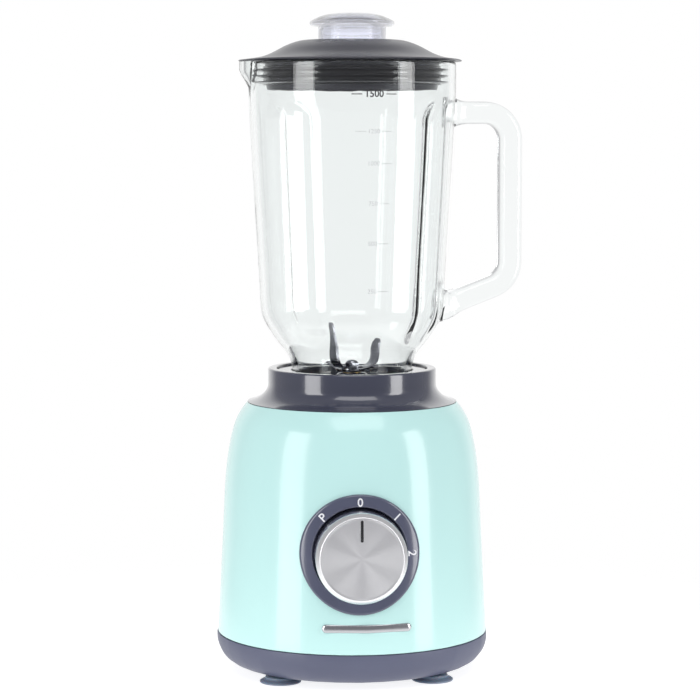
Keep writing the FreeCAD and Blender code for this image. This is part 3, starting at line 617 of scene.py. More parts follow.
def make_cover():
    """Base cover: a shallow tray with radial air slots and a rounded rim."""
    side = smooth_curve([(66, COVER_FLOOR), (74.2, 4.8), (79.8, 8.4), (83.4, 13.8), (84.85, 20.2),
                         (84.85, 22.4)], 34)
    floor = np.stack([np.linspace(8, 65, 24), np.full(24, COVER_FLOOR)], axis=1)
    top = rounded([(84.85, 22.4), (84.8, 23.2, 0.7), (81.6, 23.2)], 6)
    half = 1.6
    start = np.concatenate([floor, side[side[:, 0] < 66]])
    flat = rows_with_ends(start, 0, COVER_SLOTS, half)
    flat = flat[np.concatenate([[True], np.diff(flat[:, 0]) > 0.02])]
    outline = np.concatenate([flat, side, top[1:]])
    centres = [math.radians(22.5 * k) + 1e-4 for k in range(16)]
    columns, edges = slot_columns(centres, half / COVER_SLOTS[0], math.radians(3.2))
    radius = np.maximum(outline[:, 0], COVER_SLOTS[0])
    angles = bend_slots(outline[:, 0], columns, edges, COVER_SLOTS, half, radius)
    points = lathe_points(outline, angles).reshape(-1, 3)
    faces = grid_faces(len(outline), len(columns))
    away = np.hypot(*points[faces].mean(axis=1)[:, :2].T)
    kept = faces[~faces_in_slots(faces, columns, edges, away, COVER_SLOTS)].tolist()
    hub = np.arange(len(columns))
    fan = np.stack([hub, (hub + 1) % len(columns), np.full(len(columns), len(points))], axis=1).tolist()
    piece = make_object("base_cover_skin", np.concatenate([points, [[0, 0, COVER_FLOOR]]]), kept + fan)
    return sharp_edges(thicken(piece, 2.6), 50)


def make_feet():
    """Four suction cups: a thin lip, a waisted neck and a hollow underside."""
    outline = np.concatenate([
        rounded([(0, 2.2), (6.0, 1.7, 2.0), (11.3, 0, 0.3), (12.7, 0, 0.35), (12.7, 0.9, 0.3)], 5),
        smooth_curve([(12.55, 1.0), (11.6, 1.6), (10.0, 2.3), (9.3, 3.45)], 10),
        rounded([(9.3, 3.5), (4.0, 3.5, 0.2), (4.0, 7.8, 0.2), (5.4, 7.8, 0.3), (5.0, 8.8, 0.5),
                 (3, 10.1, 0.6), (0, 10.1)], 4)])
    feet = []
    for angle in np.radians(FOOT_ANGLES):
        foot = lathe("foot", outline, 72, closed=False)
        shift = FOOT_REACH * np.array([math.cos(angle), math.sin(angle), 0])
        feet.append(move_points(foot, lambda p, s=shift: p + s))
    return join("suction_feet_soft", feet)


def bezel_surface(rho, phi, rise):
    """Point on the housing's front at a polar place round the knob's axis, raised by rise."""
    return on_front(rho * np.cos(phi), KNOB_HEIGHT + rho * np.sin(phi), rise)


def bezel_crown(rho):
    """How far the bezel's ring stands over its edges: one low arch across its width."""
    return 0.04 * np.sin(np.clip((BEZEL_OUT - rho) / (BEZEL_OUT - BEZEL_IN), 0, 1) * math.pi)


def make_bezel():
    """Knob bezel: a crowned ring that follows the housing, then a straight cup down to its floor."""
    phi = full_turn(256)[None, :]
    t = np.linspace(0, 1, 12)[:, None]
    edge = np.radians(np.linspace(0, 90, 9))[1:, None]
    top = np.linspace(BEZEL_OUT, BEZEL_IN, 10)[1:, None]
    inner = np.radians(np.linspace(90, 180, 7))[1:, None]
    rho = [36.2 + 0.0 * t, BEZEL_OUT + 1.4 * np.cos(edge), top, BEZEL_IN + np.cos(inner)]
    rise = [-1.2 + 2.2 * t, 1.0 + 1.3 * np.sin(edge), 2.3 + bezel_crown(top), 1.3 + np.sin(inner)]
    ring = bezel_surface(np.concatenate(rho), phi, np.concatenate(rise))
    x, y, z = ring[-1].T

    def rung(share, level):
        return np.stack([x * share, np.full(256, level), (z - KNOB_HEIGHT) * share + KNOB_HEIGHT], axis=-1)

    wall = [np.stack([x, y * (1 - k) - 75.5 * k, z], axis=-1) for k in np.linspace(0, 1, 8)[1:]]
    floor = [rung(share, -75.5) for share in (0.9, 0.6, 0.2)]
    back = [rung(share, -74.0) for share in (0.2, 0.6, 0.9, 1.045)]
    under = bezel_surface(np.array([[30.0], [33.0]]), phi, np.array([[-0.8], [-1.2]]))
    return skin("bezel_skin", np.concatenate([ring, wall, floor, back, under]))


def make_trim():
    """Plain bright bar: a stadium in front view, crowned across, bent round the housing."""
    phi = full_turn(96)
    half_length, half_height = 24.5, 2.5
    ends = 4.0 + half_length * np.sign(np.cos(phi)) * np.minimum(1, np.abs(np.cos(phi)) * 40)
    section = ((1.0, -0.8), (1.0, 0.55), (0.94, 0.95), (0.8, 1.22), (0.5, 1.38), (0.0, 1.42))
    rows = [on_front(ends + half_height * k * np.cos(phi), 39.4 + half_height * k * np.sin(phi), rise)
            for k, rise in section]
    return skin("trim_bar_bright", np.stack(rows), wrap_rows=False)


# --- Knob --------------------------------------------------------------------------------
def make_knob_face():
    """Spun cap: a faintly dished face, a bright bevel with eased edges and a straight side."""
    outline = rounded([(0, 95.9), (26.0, 95.9, 0.3), (26.0, 77.2, 0.2), (27.4, 77.2, 0.5), (27.4, 96.2, 0.8),
                       (24.9, 99.0, 0.45), (23.6, 98.8, 0.4), (0, 98.75)], 6)
    return move_points(lathe("knob_face_spun", outline, 192, closed=False), to_front)


def make_knob_core():
    """Moulded body of the knob behind its metal face."""
    outline = rounded([(0, 78.0), (3.1, 78.0, 0.2), (3.1, 77.0, 0.2), (24.0, 77.0, 0.4), (25.4, 78.4, 0.4),
                       (25.4, 95.7, 0.4), (0, 95.7)], 4)
    return move_points(lathe("knob_core", outline, 96, closed=False), to_front)


def make_pointer():
    """Pointer: a thin rounded bar just proud of the face."""
    phi = full_turn(40)
    straight = np.sign(np.sin(phi)) * np.minimum(1, np.abs(np.sin(phi)) * 40) * 5.7
    rows = [np.stack([0.85 * shrink * np.cos(phi), 16.8 + straight + 0.85 * shrink * np.sin(phi),
                      np.full(40, level)], axis=-1)
            for shrink, level in ((1.0, 98.3), (1.0, 98.85), (0.7, 98.97), (0.0, 98.99))]
    points = np.concatenate([*rows, [[0, 16.8, 98.3]]])
    faces = grid_faces(4, 40).tolist() + [[i, (i + 1) % 40, 160] for i in range(40)]
    return move_points(make_object("knob_pointer_bar", points, faces), to_front)


def printed(name, text, size, bend, weight):
    """Letters as a thin raised print: made flat and centred, then carried onto a surface by bend."""
    curve = bpy.data.curves.new(name, "FONT")
    curve.body = text
    curve.size = size * MM
    curve.align_x, curve.align_y = "CENTER", "CENTER"
    curve.extrude = 0.00004
    curve.offset = weight * size * MM
    curve.resolution_u = 3
    letters = bpy.data.objects.new(name, curve)
    bpy.context.scene.collection.objects.link(letters)
    graph = bpy.context.evaluated_depsgraph_get()
    mesh = bpy.data.meshes.new_from_object(letters.evaluated_get(graph))
    bpy.data.objects.remove(letters)
    piece = bpy.data.objects.new(name, mesh)
    bpy.context.scene.collection.objects.link(piece)
    return move_points(piece, bend)


def bar_mark(name, width, height, bend):
    """A flat printed line with a few steps along it, so that it can follow a curve."""
    x = np.linspace(-width / 2, width / 2, 7)
    rows = [np.stack([x, np.full(7, y), np.full(7, z)], axis=-1)
            for y, z in ((-height / 2, -0.04), (-height / 2, 0.04), (height / 2, 0.04), (height / 2, -0.04))]
    grid = np.stack(rows, axis=1).reshape(-1, 3)
    faces = grid_faces(7, 4).tolist() + [[0, 1, 2, 3], [27, 26, 25, 24]]
    return move_points(make_object(name, grid, faces, flat=True), bend)


def make_dial_marks():
    """Position marks on the bezel: pulse, off and two speeds, clockwise from the upper left."""
    marks = []
    for text, clock in (("P", -45), ("0", 0), ("1", 45), ("2", 90)):
        a = math.radians(90 - clock)
        centre = np.array([math.cos(a), math.sin(a)]) * 31.3

        def onto_bezel(p, centre=centre, a=a):
            p = turn_points(p, a - math.pi / 2)
            x, z = centre[0] + p[:, 0], KNOB_HEIGHT + centre[1] + p[:, 1]
            return on_front(x, z, 2.4 + bezel_crown(np.hypot(x, z - KNOB_HEIGHT)) + p[:, 2])

        marks.append(printed("mark_" + text, text, 7.2, onto_bezel, 0.014))
    return join("dial_marks", marks)


# --- Jug ---------------------------------------------------------------------------------
def flute_push(angle, r, z, grow):
    """How far the flutes push the glass inwards.

    Each flute is what a bar of 20 mm radius with round ends would press 3.3 mm deep, and grow is
    the wall's thickness for the inner face, which bulges in step so that the wall stays even. The
    edge is eased by a smooth maximum. The four of them stand on the diagonals.
    """
    side = angle % (math.pi / 2) - math.pi / 4
    across = r * np.sin(side)
    beyond = np.maximum(z - 341.5, 0) + np.maximum(217.0 - z, 0)
    bar = FLUTE_BAR + grow
    d = np.sqrt(np.maximum(bar**2 - across**2 - beyond**2, 0)) - (bar - FLUTE_DEPTH)
    return 0.5 * (d + np.sqrt(d**2 + 1.2**2)) - 0.027


def spout_reach(angle, z, wall):
    """Radius of the pouring lip: a round channel centred 55.5 mm out, widening up to the rim."""
    delta = np.abs(angle % (2 * math.pi) - math.pi)
    rho = 15.0 - wall - 6.5 * np.clip((372.5 - z) / 11.0, 0, 1.6)
    inside = rho**2 - (55.5 * np.sin(delta))**2
    reach = 55.5 * np.cos(delta) + np.sqrt(np.maximum(inside, 0))
    return np.where((inside > 0) & (delta < 1.0), reach, 0.0)


def jug_outline():
    """Closed outline of the jug's wall: outside up, over the rim, and inside down to the neck."""
    outer = np.concatenate([[(37.5, 180.6)], smooth_curve([(37.5, 181), (37.5, 188.8)], 4)[:-1],
                            smooth_curve(JUG, 130)])
    outer = np.concatenate([outer, smooth_curve([(64.4, 361), (64.4, 378.4)], 14)[1:]])
    inner = (outer - outline_normals(outer) * JUG_WALL)[::-1]
    inner = inner[inner[:, 1] > 180.9]
    rim = arc_between((62.4, 376.9), 2.0, 0, 180, 14)
    rim[:, 1] = 376.9 + (rim[:, 1] - 376.9) * 0.75
    outer = outer[outer[:, 1] < 376.6]
    inner = inner[inner[:, 1] < 376.6]
    foot = rounded([(33.5, 181.2), (33.5, 180.0, 0.9), (37.5, 180.0, 0.9), (37.5, 181.2)], 5)[1:-1]
    return np.concatenate([outer, rim, inner, foot]), len(outer) + len(rim) // 2


def make_jug_body():
    """Jug wall: the outline turned about Z, its radius pushed in by flutes and out by the spout."""
    outline, half = jug_outline()
    angles = full_turn(256)[None, :]
    r, z = outline[:, 0][:, None], outline[:, 1][:, None]
    outside = (np.arange(len(outline)) < half)[:, None]
    radius = r - (z > 196) * flute_push(angles, r, z, np.where(outside, 0.0, JUG_WALL))
    lip = spout_reach(angles, z, np.where(outside, 0.0, 3.8))
    gap = lip - radius
    grown = radius + 0.5 * (gap + np.sqrt(gap**2 + 0.9**2))
    radius = np.where((lip > 0) & (z > 350), grown, radius)
    return skin("jug_glass_clear", around_z(radius, angles, z))


def handle_path():
    """Middle line of the handle in its own plane, as (reach, height), with round corners."""
    reach, top, low, r = 101.4, 347.3, 242.5, 17.0
    tilt = math.degrees(math.atan2(17.5, reach - 54.0))
    set_back = r * math.tan(math.radians(90 - tilt) / 2)
    upper = arc_between((reach - r, top - r), r, 90, 0, 20)
    lower = arc_between((reach - r, low + set_back), r, 0, -(90 - tilt), 20)
    end = lower[-1]
    slope = math.radians(tilt)
    straight = np.linspace(0, 1, 16)[1:, None]
    target = np.array([55.2, end[1] - (end[0] - 55.2) * math.tan(slope)])
    head = np.stack([np.linspace(61.0, reach - r, 14)[:-1], np.full(13, top)], axis=1)
    grip = np.linspace(0, 1, 30)[1:-1, None]
    grip = upper[-1] * (1 - grip) + lower[0] * grip
    return np.concatenate([head, upper, grip, lower, end * (1 - straight) + target * straight])


def make_handle():
    """Handle: a flattened round section carried along the path, wider where it meets the wall."""
    path = handle_path()
    step = np.linalg.norm(np.diff(path, axis=0), axis=1)
    s = np.concatenate([[0], np.cumsum(step)])
    d = np.gradient(path, axis=0)
    d /= np.linalg.norm(d, axis=1)[:, None]
    normal = np.stack([-d[:, 1], d[:, 0]], axis=1)
    lean_top, lean_low = np.array([0.05, 1.0]), np.array([-0.32, -0.95])
    near_top = np.exp(-(s / 5.0)**2)[:, None]
    near_low = np.exp(-((s[-1] - s) / 6.0)**2)[:, None]
    normal = normal * (1 - near_top) + lean_top * near_top
    normal = normal * (1 - near_low) + lean_low * near_low
    normal /= np.linalg.norm(normal, axis=1)[:, None]
    flare = 1 + 0.42 * np.exp(-(s / 6.5)**2) + 0.5 * np.exp(-((s[-1] - s) / 8.0)**2)
    phi = full_turn(56)
    thick = 7.0 * np.sign(np.cos(phi)) * np.abs(np.cos(phi))**0.55
    broad = 8.6 * np.sign(np.sin(phi)) * np.abs(np.sin(phi))**0.62
    ring = thick[None, :, None] * normal[:, None, :] * flare[:, None, None] + path[:, None, :]
    across = broad[None, :] * flare[:, None]
    points = np.stack([ring[..., 0], across, ring[..., 1]], axis=-1)
    rows = len(path)
    faces = grid_faces(rows, 56).tolist()
    faces += [list(range(56)), list(range((rows - 1) * 56, rows * 56))]
    return make_object("handle_tool", points.reshape(-1, 3), faces)


def make_jug():
    """The jug's wall and its handle as one piece of glass."""
    jug = combined(make_jug_body(), "UNION", make_handle())
    jug.data.polygons.foreach_set("use_smooth", np.full(len(jug.data.polygons), True))
    return move_points(jug, lambda p: turn_points(p, JUG_TURN))


SCALE_TOP = (("1500", 358.0, 5.8),)
SCALE_LOWER = (("1250", 335.8, 3.8), ("1000", 316.6, 3.8), ("750", 292.6, 3.8), ("500", 268.5, 3.8),
               ("250", 239.7, 3.8))


def make_scale(name, marks):
    """Printed scale on the jug's front in millilitres, with a line beside each number."""
    pieces = []
    curve = smooth_curve(JUG, 400)
    for text, height, size in marks:
        radius = float(np.interp(height, curve[:, 1], curve[:, 0])) + 0.02

        def onto_glass(p, radius=radius, height=height, shift=0.0):
            z = height + p[:, 1]
            r = np.interp(z, curve[:, 1], curve[:, 0]) + 0.03 + p[:, 2]
            a = -math.pi / 2 + (p[:, 0] + shift) / radius
            return turn_points(around_z(r, a, z), JUG_TURN)

        pieces.append(printed("number_" + text, text, size, onto_glass, 0.02 if size > 4 else 0.0))
        wide = 0.32 * size * len(text) + 3.2
        sides = (-1, 1) if text in ("1500", "1250") else (1,)
        for side in sides:
            pieces.append(bar_mark("line", 6.4, 0.55 if size > 4 else 0.3,
                                   lambda p, s=side, w=wide, f=onto_glass: f(p, shift=s * w)))
    return join(name, pieces)


def make_ring():
    """Screwed ring under the jug, which stands in the collar's socket."""
    outline = rounded([(31.2, 168.4), (45.5, 168.4, 0.4), (46.5, 169.4, 0.5), (46.5, 187.6, 1.2),
                       (38.0, 187.6, 0.9), (38.0, 175.0, 0.2), (31.2, 175.0, 0.3), (31.2, 168.4)], 6)
    return lathe("jug_ring_skin", outline[:-1], 224)


def make_carrier():
    """Blade carrier: the jug's low domed floor round the blades' bush."""
    outline = rounded([(5.6, 178.8), (16.5, 178.8, 0.3), (16.5, 175.0, 0.3), (37.2, 175.0, 0.3),
                       (37.2, 178.0, 0.3), (33.0, 178.0, 0.3), (31.0, 178.4, 0.8), (22.0, 180.8, 3.0),
                       (11.0, 183.2, 2.0), (8.5, 186.2, 0.8), (5.6, 186.2)], 6)
    return lathe("carrier_skin", outline, 160)


# --- Blades ------------------------------------------------------------------------------
def blade_arm(level, flat, bend_r, angle, length, side, turned_by, name):
    """One arm: flat, bent up round a radius, straight to a narrow tip, with ground-down edges.

    The middle line gives (reach, height); across it runs a section that thins to both edges.
    """
    bend = np.radians(np.linspace(0, angle, 14))
    start = np.linspace(3.1, flat, 6)[:-1]
    line = np.concatenate([
        np.stack([start, np.full(5, level)], axis=1),
        np.stack([flat + bend_r * np.sin(bend), level + bend_r * (1 - np.cos(bend))], axis=1)])
    end = line[-1]
    run = np.linspace(0, length, 14)[1:, None]
    line = np.concatenate([line, end + run * np.array([math.cos(bend[-1]), math.sin(bend[-1])])])
    s = np.concatenate([[0], np.cumsum(np.linalg.norm(np.diff(line, axis=0), axis=1))])
    along = s / s[-1]
    half = np.interp(along, [0, 0.35, 0.9, 1.0], [5.8, 5.8, 4.6, 2.2])
    d = np.gradient(line, axis=0)
    d /= np.linalg.norm(d, axis=1)[:, None]
    normal = np.stack([-d[:, 1], d[:, 0]], axis=1)
    v = np.array([-1, -0.72, 0, 0.72, 1, 0.72, 0, -0.72])
    t = np.array([0.1, 0.75, 0.75, 0.75, 0.1, -0.75, -0.75, -0.75])
    xz = line[:, None, :] + normal[:, None, :] * (t[None, :, None] + 0.75)
    points = np.stack([xz[..., 0], v[None, :] * half[:, None], xz[..., 1]], axis=-1)
    rows = len(line)
    faces = grid_faces(rows, 8).tolist() + [list(range(8)), list(range((rows - 1) * 8, rows * 8))]
    piece = make_object(name, points.reshape(-1, 3), faces, flat=True)
    return move_points(piece, lambda p: turn_points(p, math.radians(turned_by + side)))


def make_blade(name, level, turned_by, arms):
    """Two opposite arms with the round boss between them that the nut clamps."""
    pieces = [blade_arm(level, *arm, side, turned_by, "arm") for side, arm in zip((0, 180), arms)]
    outline = rounded([(3.1, level), (6.6, level, 0.2), (6.6, level + 1.5, 0.2), (3.1, level + 1.5)], 4)
    pieces.append(lathe("boss", outline, 48))
    return sharp_edges(join(name, pieces), 25)


def make_blade_nut():
    """Cap nut: a six-sided body with eased corners under a low dome."""
    angles = full_turn(96)
    flats = 4.25 / np.cos((angles + math.pi / 6) % (math.pi / 3) - math.pi / 6)
    body = ((190.65, 0.92), (190.9, 0.98), (193.2, 0.98), (193.6, 0.9))
    dome = ((193.65, 3.8), (194.9, 3.3), (195.8, 2.0), (196.2, 0.0))
    rows = [around_z(flats * grow, angles, z) for z, grow in body]
    rows += [around_z(reach, angles, z) for z, reach in dome]
    points = np.concatenate([*rows, [[0, 0, 190.65]]])
    faces = grid_faces(len(rows), 96).tolist() + [[i, (i + 1) % 96, len(points) - 1] for i in range(96)]
    return sharp_edges(make_object("blade_nut_domed", points, faces), 35)


# --- Lid ---------------------------------------------------------------------------------
def lid_reach(angle):
    """How far the brim stands out past its circle: a nose over the spout and a tab opposite."""
    total = 0.0
    for turned, half, height in ((0.0, 30, 5.2), (math.pi, 27, 3.3)):
        off = np.abs((angle + turned) % (2 * math.pi) - math.pi)
        total = total + height * (0.5 + 0.5 * np.cos(np.clip(off / math.radians(half), 0, 1) * math.pi))
    return total


def make_lid():
    """Lid: the outline turned about Z, with the brim drawn out and bent down a little at its tips."""
    top = np.concatenate([
        rounded([(21.6, 372.0), (21.6, 392.0, 1.0), (27.0, 392.0)], 7)[:-1],
        smooth_curve([(26.5, 392.0), (31.0, 391.7), (36.0, 390.5), (43.0, 387.6), (49.0, 384.4),
                      (56.0, 381.7), (65.3, 380.2)], 50)])
    rest = np.concatenate([
        rounded([(65.3, 380.2), (65.9, 379.8, 0.3), (65.5, 379.2, 0.3), (63.6, 378.8, 0.6),
                 (53.9, 378.8, 0.8), (53.7, 366.0, 2.0), (52.6, 360.8, 0.8), (51.3, 361.6, 0.4),
                 (51.3, 380.4)], 6)[1:-1],
        smooth_curve([(51.3, 380.2), (45.0, 383.9), (37.0, 387.6), (28.0, 389.4)], 14),
        rounded([(28.0, 389.4), (24.2, 389.4, 1.0), (24.2, 366.0, 0.5), (21.6, 366.0, 0.5),
                 (21.6, 372.0)], 5)[1:-1]])
    outline = np.concatenate([top, rest])
    angles = full_turn(256)[None, :]
    r, z = outline[:, 0][:, None], outline[:, 1][:, None]
    reach = lid_reach(angles) * np.clip((r - 57.0) / 8.9, 0, 1)**1.6 * (z > 378.0)
    piece = skin("lid_skin", around_z(r + reach, angles, z - 0.13 * reach))
    return move_points(piece, lambda p: turn_points(p, JUG_TURN))


def make_lid_seal():
    """Seal: a sleeve on the skirt with three soft lips that reach out to the glass."""
    corners = [(53.75, 364.0, 0), (55.2, 364.0, 0.3)]
    for z in (365.6, 369.4, 373.2):
        corners += [(55.2, z - 1.1, 0.3), (59.6, z - 0.1, 0.35), (59.7, z + 0.6, 0.3), (55.2, z + 0.9, 0.3)]
    corners += [(55.2, 375.5, 0.3), (53.75, 375.5, 0)]
    return lathe("lid_seal_soft", rounded(corners, 5), 224)


def make_cap():
    """Measuring cap: a clear cup with a wide domed flange, closed on top."""
    outline = np.concatenate([
        smooth_curve([(0, 408.75), (12.0, 408.15), (19.5, 406.55), (25.6, 403.7)], 26),
        rounded([(25.6, 403.7), (26.3, 403.3, 0.5), (26.3, 401.3, 0.7), (25.0, 400.45, 0.5),
                 (21.0, 399.8, 0.6), (21.0, 368.0, 0.7), (19.2, 368.0, 0.7), (19.2, 400.6, 1.4)], 7)[1:],
        smooth_curve([(18.4, 401.8), (15.0, 404.6), (0, 406.5)], 14)])
    return lathe("measuring_cap_clear", outline, 192, closed=False)


# --- Operators ---------------------------------------------------------------------------
def colour_setting(name, description, default):
    """A colour in the panel."""
    return bpy.props.FloatVectorProperty(name=name, description=description, subtype="COLOR", size=3,
                                         default=default, min=0, max=1)


class Finishes(bpy.types.PropertyGroup):
    """Colours a maker would change."""
    lacquer: colour_setting("Lacquer", "Colour of the housing's lacquer", (0.54, 0.825, 0.80))
    charcoal: colour_setting("Charcoal", "Colour of the collar and the bezel", (0.043, 0.047, 0.075))
    glass: colour_setting("Glass", "Tint of the pressed glass", (0.965, 0.986, 0.982))


class Studio(bpy.types.PropertyGroup):
    """Light and camera sizes."""
    distance: bpy.props.FloatProperty(
        name="Camera distance", description="Level distance from the drive axis to the camera",
        subtype="DISTANCE", unit="LENGTH", default=1.5625, min=0.5, max=5)
    height: bpy.props.FloatProperty(
        name="Camera height", description="Height of the camera over the worktop",
        subtype="DISTANCE", unit="LENGTH", default=0.3394, min=0.05, max=2)
    lens: bpy.props.FloatProperty(
        name="Lens", description="Focal length for a 36 mm wide picture", subtype="DISTANCE_CAMERA",
        default=129.05, min=20, max=300)
    power: bpy.props.FloatProperty(
        name="Light power", description="Power of each side light", unit="POWER", default=8.0, min=0, max=500)


class MakeHousing(bpy.types.Operator):
    """Body shell, top collar, base cover and feet"""
    bl_idname = "countertop.make_housing"
    bl_label = "Make housing"

    def execute(self, context):
        place(make_shell(), "base", "housing_paint", "body_shell")
        place(make_collar(), "base", "collar_plastic", "top_collar")
        place(make_cover(), "base", "cover_plastic", "base_cover")
        place(make_feet(), "base", "foot_rubber", "suction_feet")
        place(make_trim(), "base", "bright_trim", "trim_bar")
        return {"FINISHED"}


class MakeControls(bpy.types.Operator):
    """Bezel with its marks, and the knob"""
    bl_idname = "countertop.make_controls"
    bl_label = "Make controls"

    def execute(self, context):
        place(make_bezel(), "base", "collar_plastic", "knob_bezel", material=bezel_gloss())
        place(make_dial_marks(), "base", "collar_plastic", material=surface("dial_print"))
        place(make_knob_face(), "knob", "spun_metal", "knob_face")
        place(make_knob_core(), "knob", "black_plastic", "knob_body")
        place(make_pointer(), "knob", "black_plastic", "knob_pointer")
        return {"FINISHED"}


class MakeJug(bpy.types.Operator):
    """Glass jug with its scale, base ring and blade carrier"""
    bl_idname = "countertop.make_jug"
    bl_label = "Make jug"

    def execute(self, context):
        place(make_jug(), "jug", "jug_clear", "jug_glass")
        place(make_scale("scale_top_mark", SCALE_TOP), "jug", "jug_clear", material=surface("top_mark_print"))
        place(make_scale("scale_marks", SCALE_LOWER), "jug", "jug_clear", material=surface("scale_print"))
        place(make_ring(), "jug", "collar_plastic", "jug_base_ring")
        place(make_carrier(), "jug", "black_plastic", "blade_carrier", material=charcoal_gloss())
        return {"FINISHED"}


class MakeBlades(bpy.types.Operator):
    """Two bent blades and their cap nut"""
    bl_idname = "countertop.make_blades"
    bl_label = "Make blades"

    def execute(self, context):
        upper = make_blade("upper_blade_ground", 189.1, 210, [(6, 7.5, 80, 21.5), (9.5, 8, 75, 12)])
        lower = make_blade("lower_blade_ground", 187.5, 128, [(8, 10, 22, 12), (8, 10, 14, 12)])
        for piece, node in ((upper, "upper_blade"), (lower, "lower_blade"), (make_blade_nut(), "blade_nut")):
            place(piece, "blades", "blade_steel", node)
        return {"FINISHED"}


class MakeLid(bpy.types.Operator):
    """Lid, its seal and the measuring cap"""
    bl_idname = "countertop.make_lid"
    bl_label = "Make lid"

    def execute(self, context):
        place(make_lid(), "lid", "lid_plastic", "lid")
        place(make_lid_seal(), "lid", "lid_rubber", "lid_seal")
        place(make_cap(), "cap", "cap_clear", "measuring_cap")
        return {"FINISHED"}


class FinishInside(bpy.types.Operator):
    """Materials for the CAD pieces that stay as they are"""
    bl_idname = "countertop.finish_inside"
    bl_label = "Finish the inside"

    def execute(self, context):
        slots = {row["node"]: row["material_slot"] for row in frame["record"]["subparts"]}
        for node, piece in frame["nodes"].items():
            piece.data.materials.clear()
            piece.data.materials.append(surface(slots[node]))
        return {"FINISHED"}


VIEW_TURN = math.radians(-3.5)
SOFTBOXES = (("left_box", -54, 1.25, 0.35, (0.52, 1.0), 1.0),
             ("right_box", 62, 1.25, 0.35, (0.40, 1.0), 0.85),
             ("top_box", 8, 0.9, 1.5, (1.2, 0.8), 0.95))


class MakeStudio(bpy.types.Operator):
    """Pale floor, soft lights, surroundings and the camera"""
    bl_idname = "countertop.make_studio"
    bl_label = "Make studio"

    def execute(self, context):
        studio = context.scene.countertop_studio
        make_floor()
        make_surroundings()
        back = Vector((math.sin(VIEW_TURN), -math.cos(VIEW_TURN), 0))
        right = Vector((math.cos(VIEW_TURN), math.sin(VIEW_TURN), 0))
        camera = bpy.data.cameras.new("view")
        camera.lens, camera.sensor_width = studio.lens, 36.0
        eye = bpy.data.objects.new("view", camera)
        eye.location = back * studio.distance + Vector((0, 0, studio.height))
        aim = right * -0.00125 + Vector((0, 0, 0.1995))
        eye.rotation_euler = (aim - eye.location).to_track_quat("-Z", "Y").to_euler()
        context.scene.collection.objects.link(eye)
        context.scene.camera = eye
        for name, turn, away, lift, size, share in SOFTBOXES:
            a = VIEW_TURN + math.radians(turn)
            spot = Vector((math.sin(a) * away, -math.cos(a) * away, lift))
            add_softbox(name, spot, Vector((0, 0, 0.2)), size, studio.power * share)
        context.scene.view_settings.view_transform = "Standard"
        context.scene.view_settings.look = "None"
        return {"FINISHED"}


def add_softbox(name, spot, aim, size, power):
    """A rectangular light turned towards a place; the camera doesn't see it."""
    light = bpy.data.lights.new(name, "AREA")
    light.shape, light.size, light.size_y = "RECTANGLE", size[0], size[1]
    light.energy = power
    box = bpy.data.objects.new(name, light)
    box.location = spot
    box.rotation_euler = (aim - spot).to_track_quat("-Z", "Y").to_euler()
    box.visible_camera = False
    bpy.context.scene.collection.objects.link(box)


def make_floor():
    """Pale worktop: a disc that fades out towards its edge."""
    r = np.array([0.0, 60.0, 120.0, 200.0, 300.0, 420.0])
    floor = lathe("worktop", np.stack([r, np.zeros(6)], axis=1), 96, closed=False)
    material = finish("Pale worktop", (0.42, 0.42, 0.42), (0.6, 0.7), second=(0.44, 0.44, 0.44), drift=2.0)
    tree = material.node_tree
    shader = tree.nodes["Principled BSDF"]
    shader.inputs["Emission Color"].default_value = (1, 1, 1, 1)
    shader.inputs["Emission Strength"].default_value = 0.82
    where = add_node(tree, "ShaderNodeTexCoord")
    reach = add_node(tree, "ShaderNodeVectorMath", operation="LENGTH")
    fade = add_node(tree, "ShaderNodeMapRange", interpolation_type="SMOOTHSTEP", From_Min=0.15, From_Max=0.40,
                    To_Min=1.0, To_Max=0.0)
    wire(tree, (where, "Object", reach, 0), (reach, "Value", fade, "Value"),
         (fade, "Result", shader, "Alpha"))
    floor.data.materials.append(material)
    if floor.data.polygons[0].normal.z < 0:
        floor.data.flip_normals()


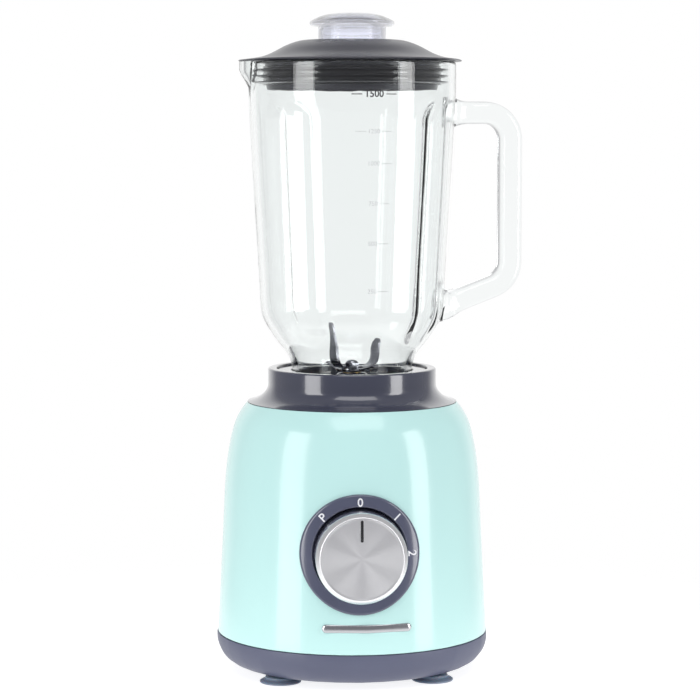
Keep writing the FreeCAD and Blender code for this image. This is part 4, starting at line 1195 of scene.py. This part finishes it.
def make_surroundings():
    """White to the camera; to reflections and glass, bright behind the object and dimmer in front."""
    world = bpy.data.worlds.new("studio")
    bpy.context.scene.world = world
    world.use_nodes = True
    tree = world.node_tree
    tree.nodes.clear()
    out = add_node(tree, "ShaderNodeOutputWorld")
    seen = add_node(tree, "ShaderNodeBackground", Color=(1, 1, 1, 1), Strength=1.0)
    around = add_node(tree, "ShaderNodeBackground", Strength=1.0)
    path = add_node(tree, "ShaderNodeLightPath")
    pick = add_node(tree, "ShaderNodeMixShader")
    where = add_node(tree, "ShaderNodeTexCoord")
    dot = add_node(tree, "ShaderNodeVectorMath", operation="DOT_PRODUCT")
    dot.inputs[1].default_value = (-math.sin(VIEW_TURN), math.cos(VIEW_TURN), 0.0)
    level = add_node(tree, "ShaderNodeValToRGB")
    stops = level.color_ramp.elements
    stops[0].position, stops[0].color = 0.0, (0.30, 0.30, 0.32, 1)
    stops[1].position, stops[1].color = 0.90, (1.0, 1.0, 1.0, 1)
    for position, value in ((0.45, 0.44), (0.80, 0.42)):
        stop = stops.new(position)
        stop.color = (value, value, value * 1.03, 1)
    shift = add_node(tree, "ShaderNodeMapRange", From_Min=-1.0)
    wire(tree, (where, "Generated", dot, 0), (dot, "Value", shift, "Value"), (shift, "Result", level, "Fac"),
         (level, "Color", around, "Color"), (path, "Is Camera Ray", pick, 0), (around, 0, pick, 1),
         (seen, 0, pick, 2), (pick, 0, out, "Surface"))


class CountertopPanel(bpy.types.Panel):
    """Buttons for each group of pieces"""
    bl_idname = "VIEW3D_PT_countertop"
    bl_label = "Countertop blender"
    bl_space_type = "VIEW_3D"
    bl_region_type = "UI"
    bl_category = "Countertop"

    def draw(self, context):
        finishes, studio = context.scene.countertop_finishes, context.scene.countertop_studio
        for name in ("lacquer", "charcoal", "glass"):
            self.layout.prop(finishes, name)
        for name in ("distance", "height", "lens", "power"):
            self.layout.prop(studio, name)
        for operator in OPERATORS:
            self.layout.operator(operator.bl_idname)


OPERATORS = (MakeHousing, MakeControls, MakeJug, MakeBlades, MakeLid, FinishInside, MakeStudio)
CLASSES = (Finishes, Studio, *OPERATORS, CountertopPanel)


def register():
    for item in CLASSES:
        bpy.utils.register_class(item)
    bpy.types.Scene.countertop_finishes = bpy.props.PointerProperty(type=Finishes)
    bpy.types.Scene.countertop_studio = bpy.props.PointerProperty(type=Studio)


def unregister():
    del bpy.types.Scene.countertop_studio
    del bpy.types.Scene.countertop_finishes
    for item in reversed(CLASSES):
        bpy.utils.unregister_class(item)


def main():
    register()
    for operator in OPERATORS:
        group, name = operator.bl_idname.split(".")
        getattr(getattr(bpy.ops, group), name)()


if __name__ == "__main__":
    main()
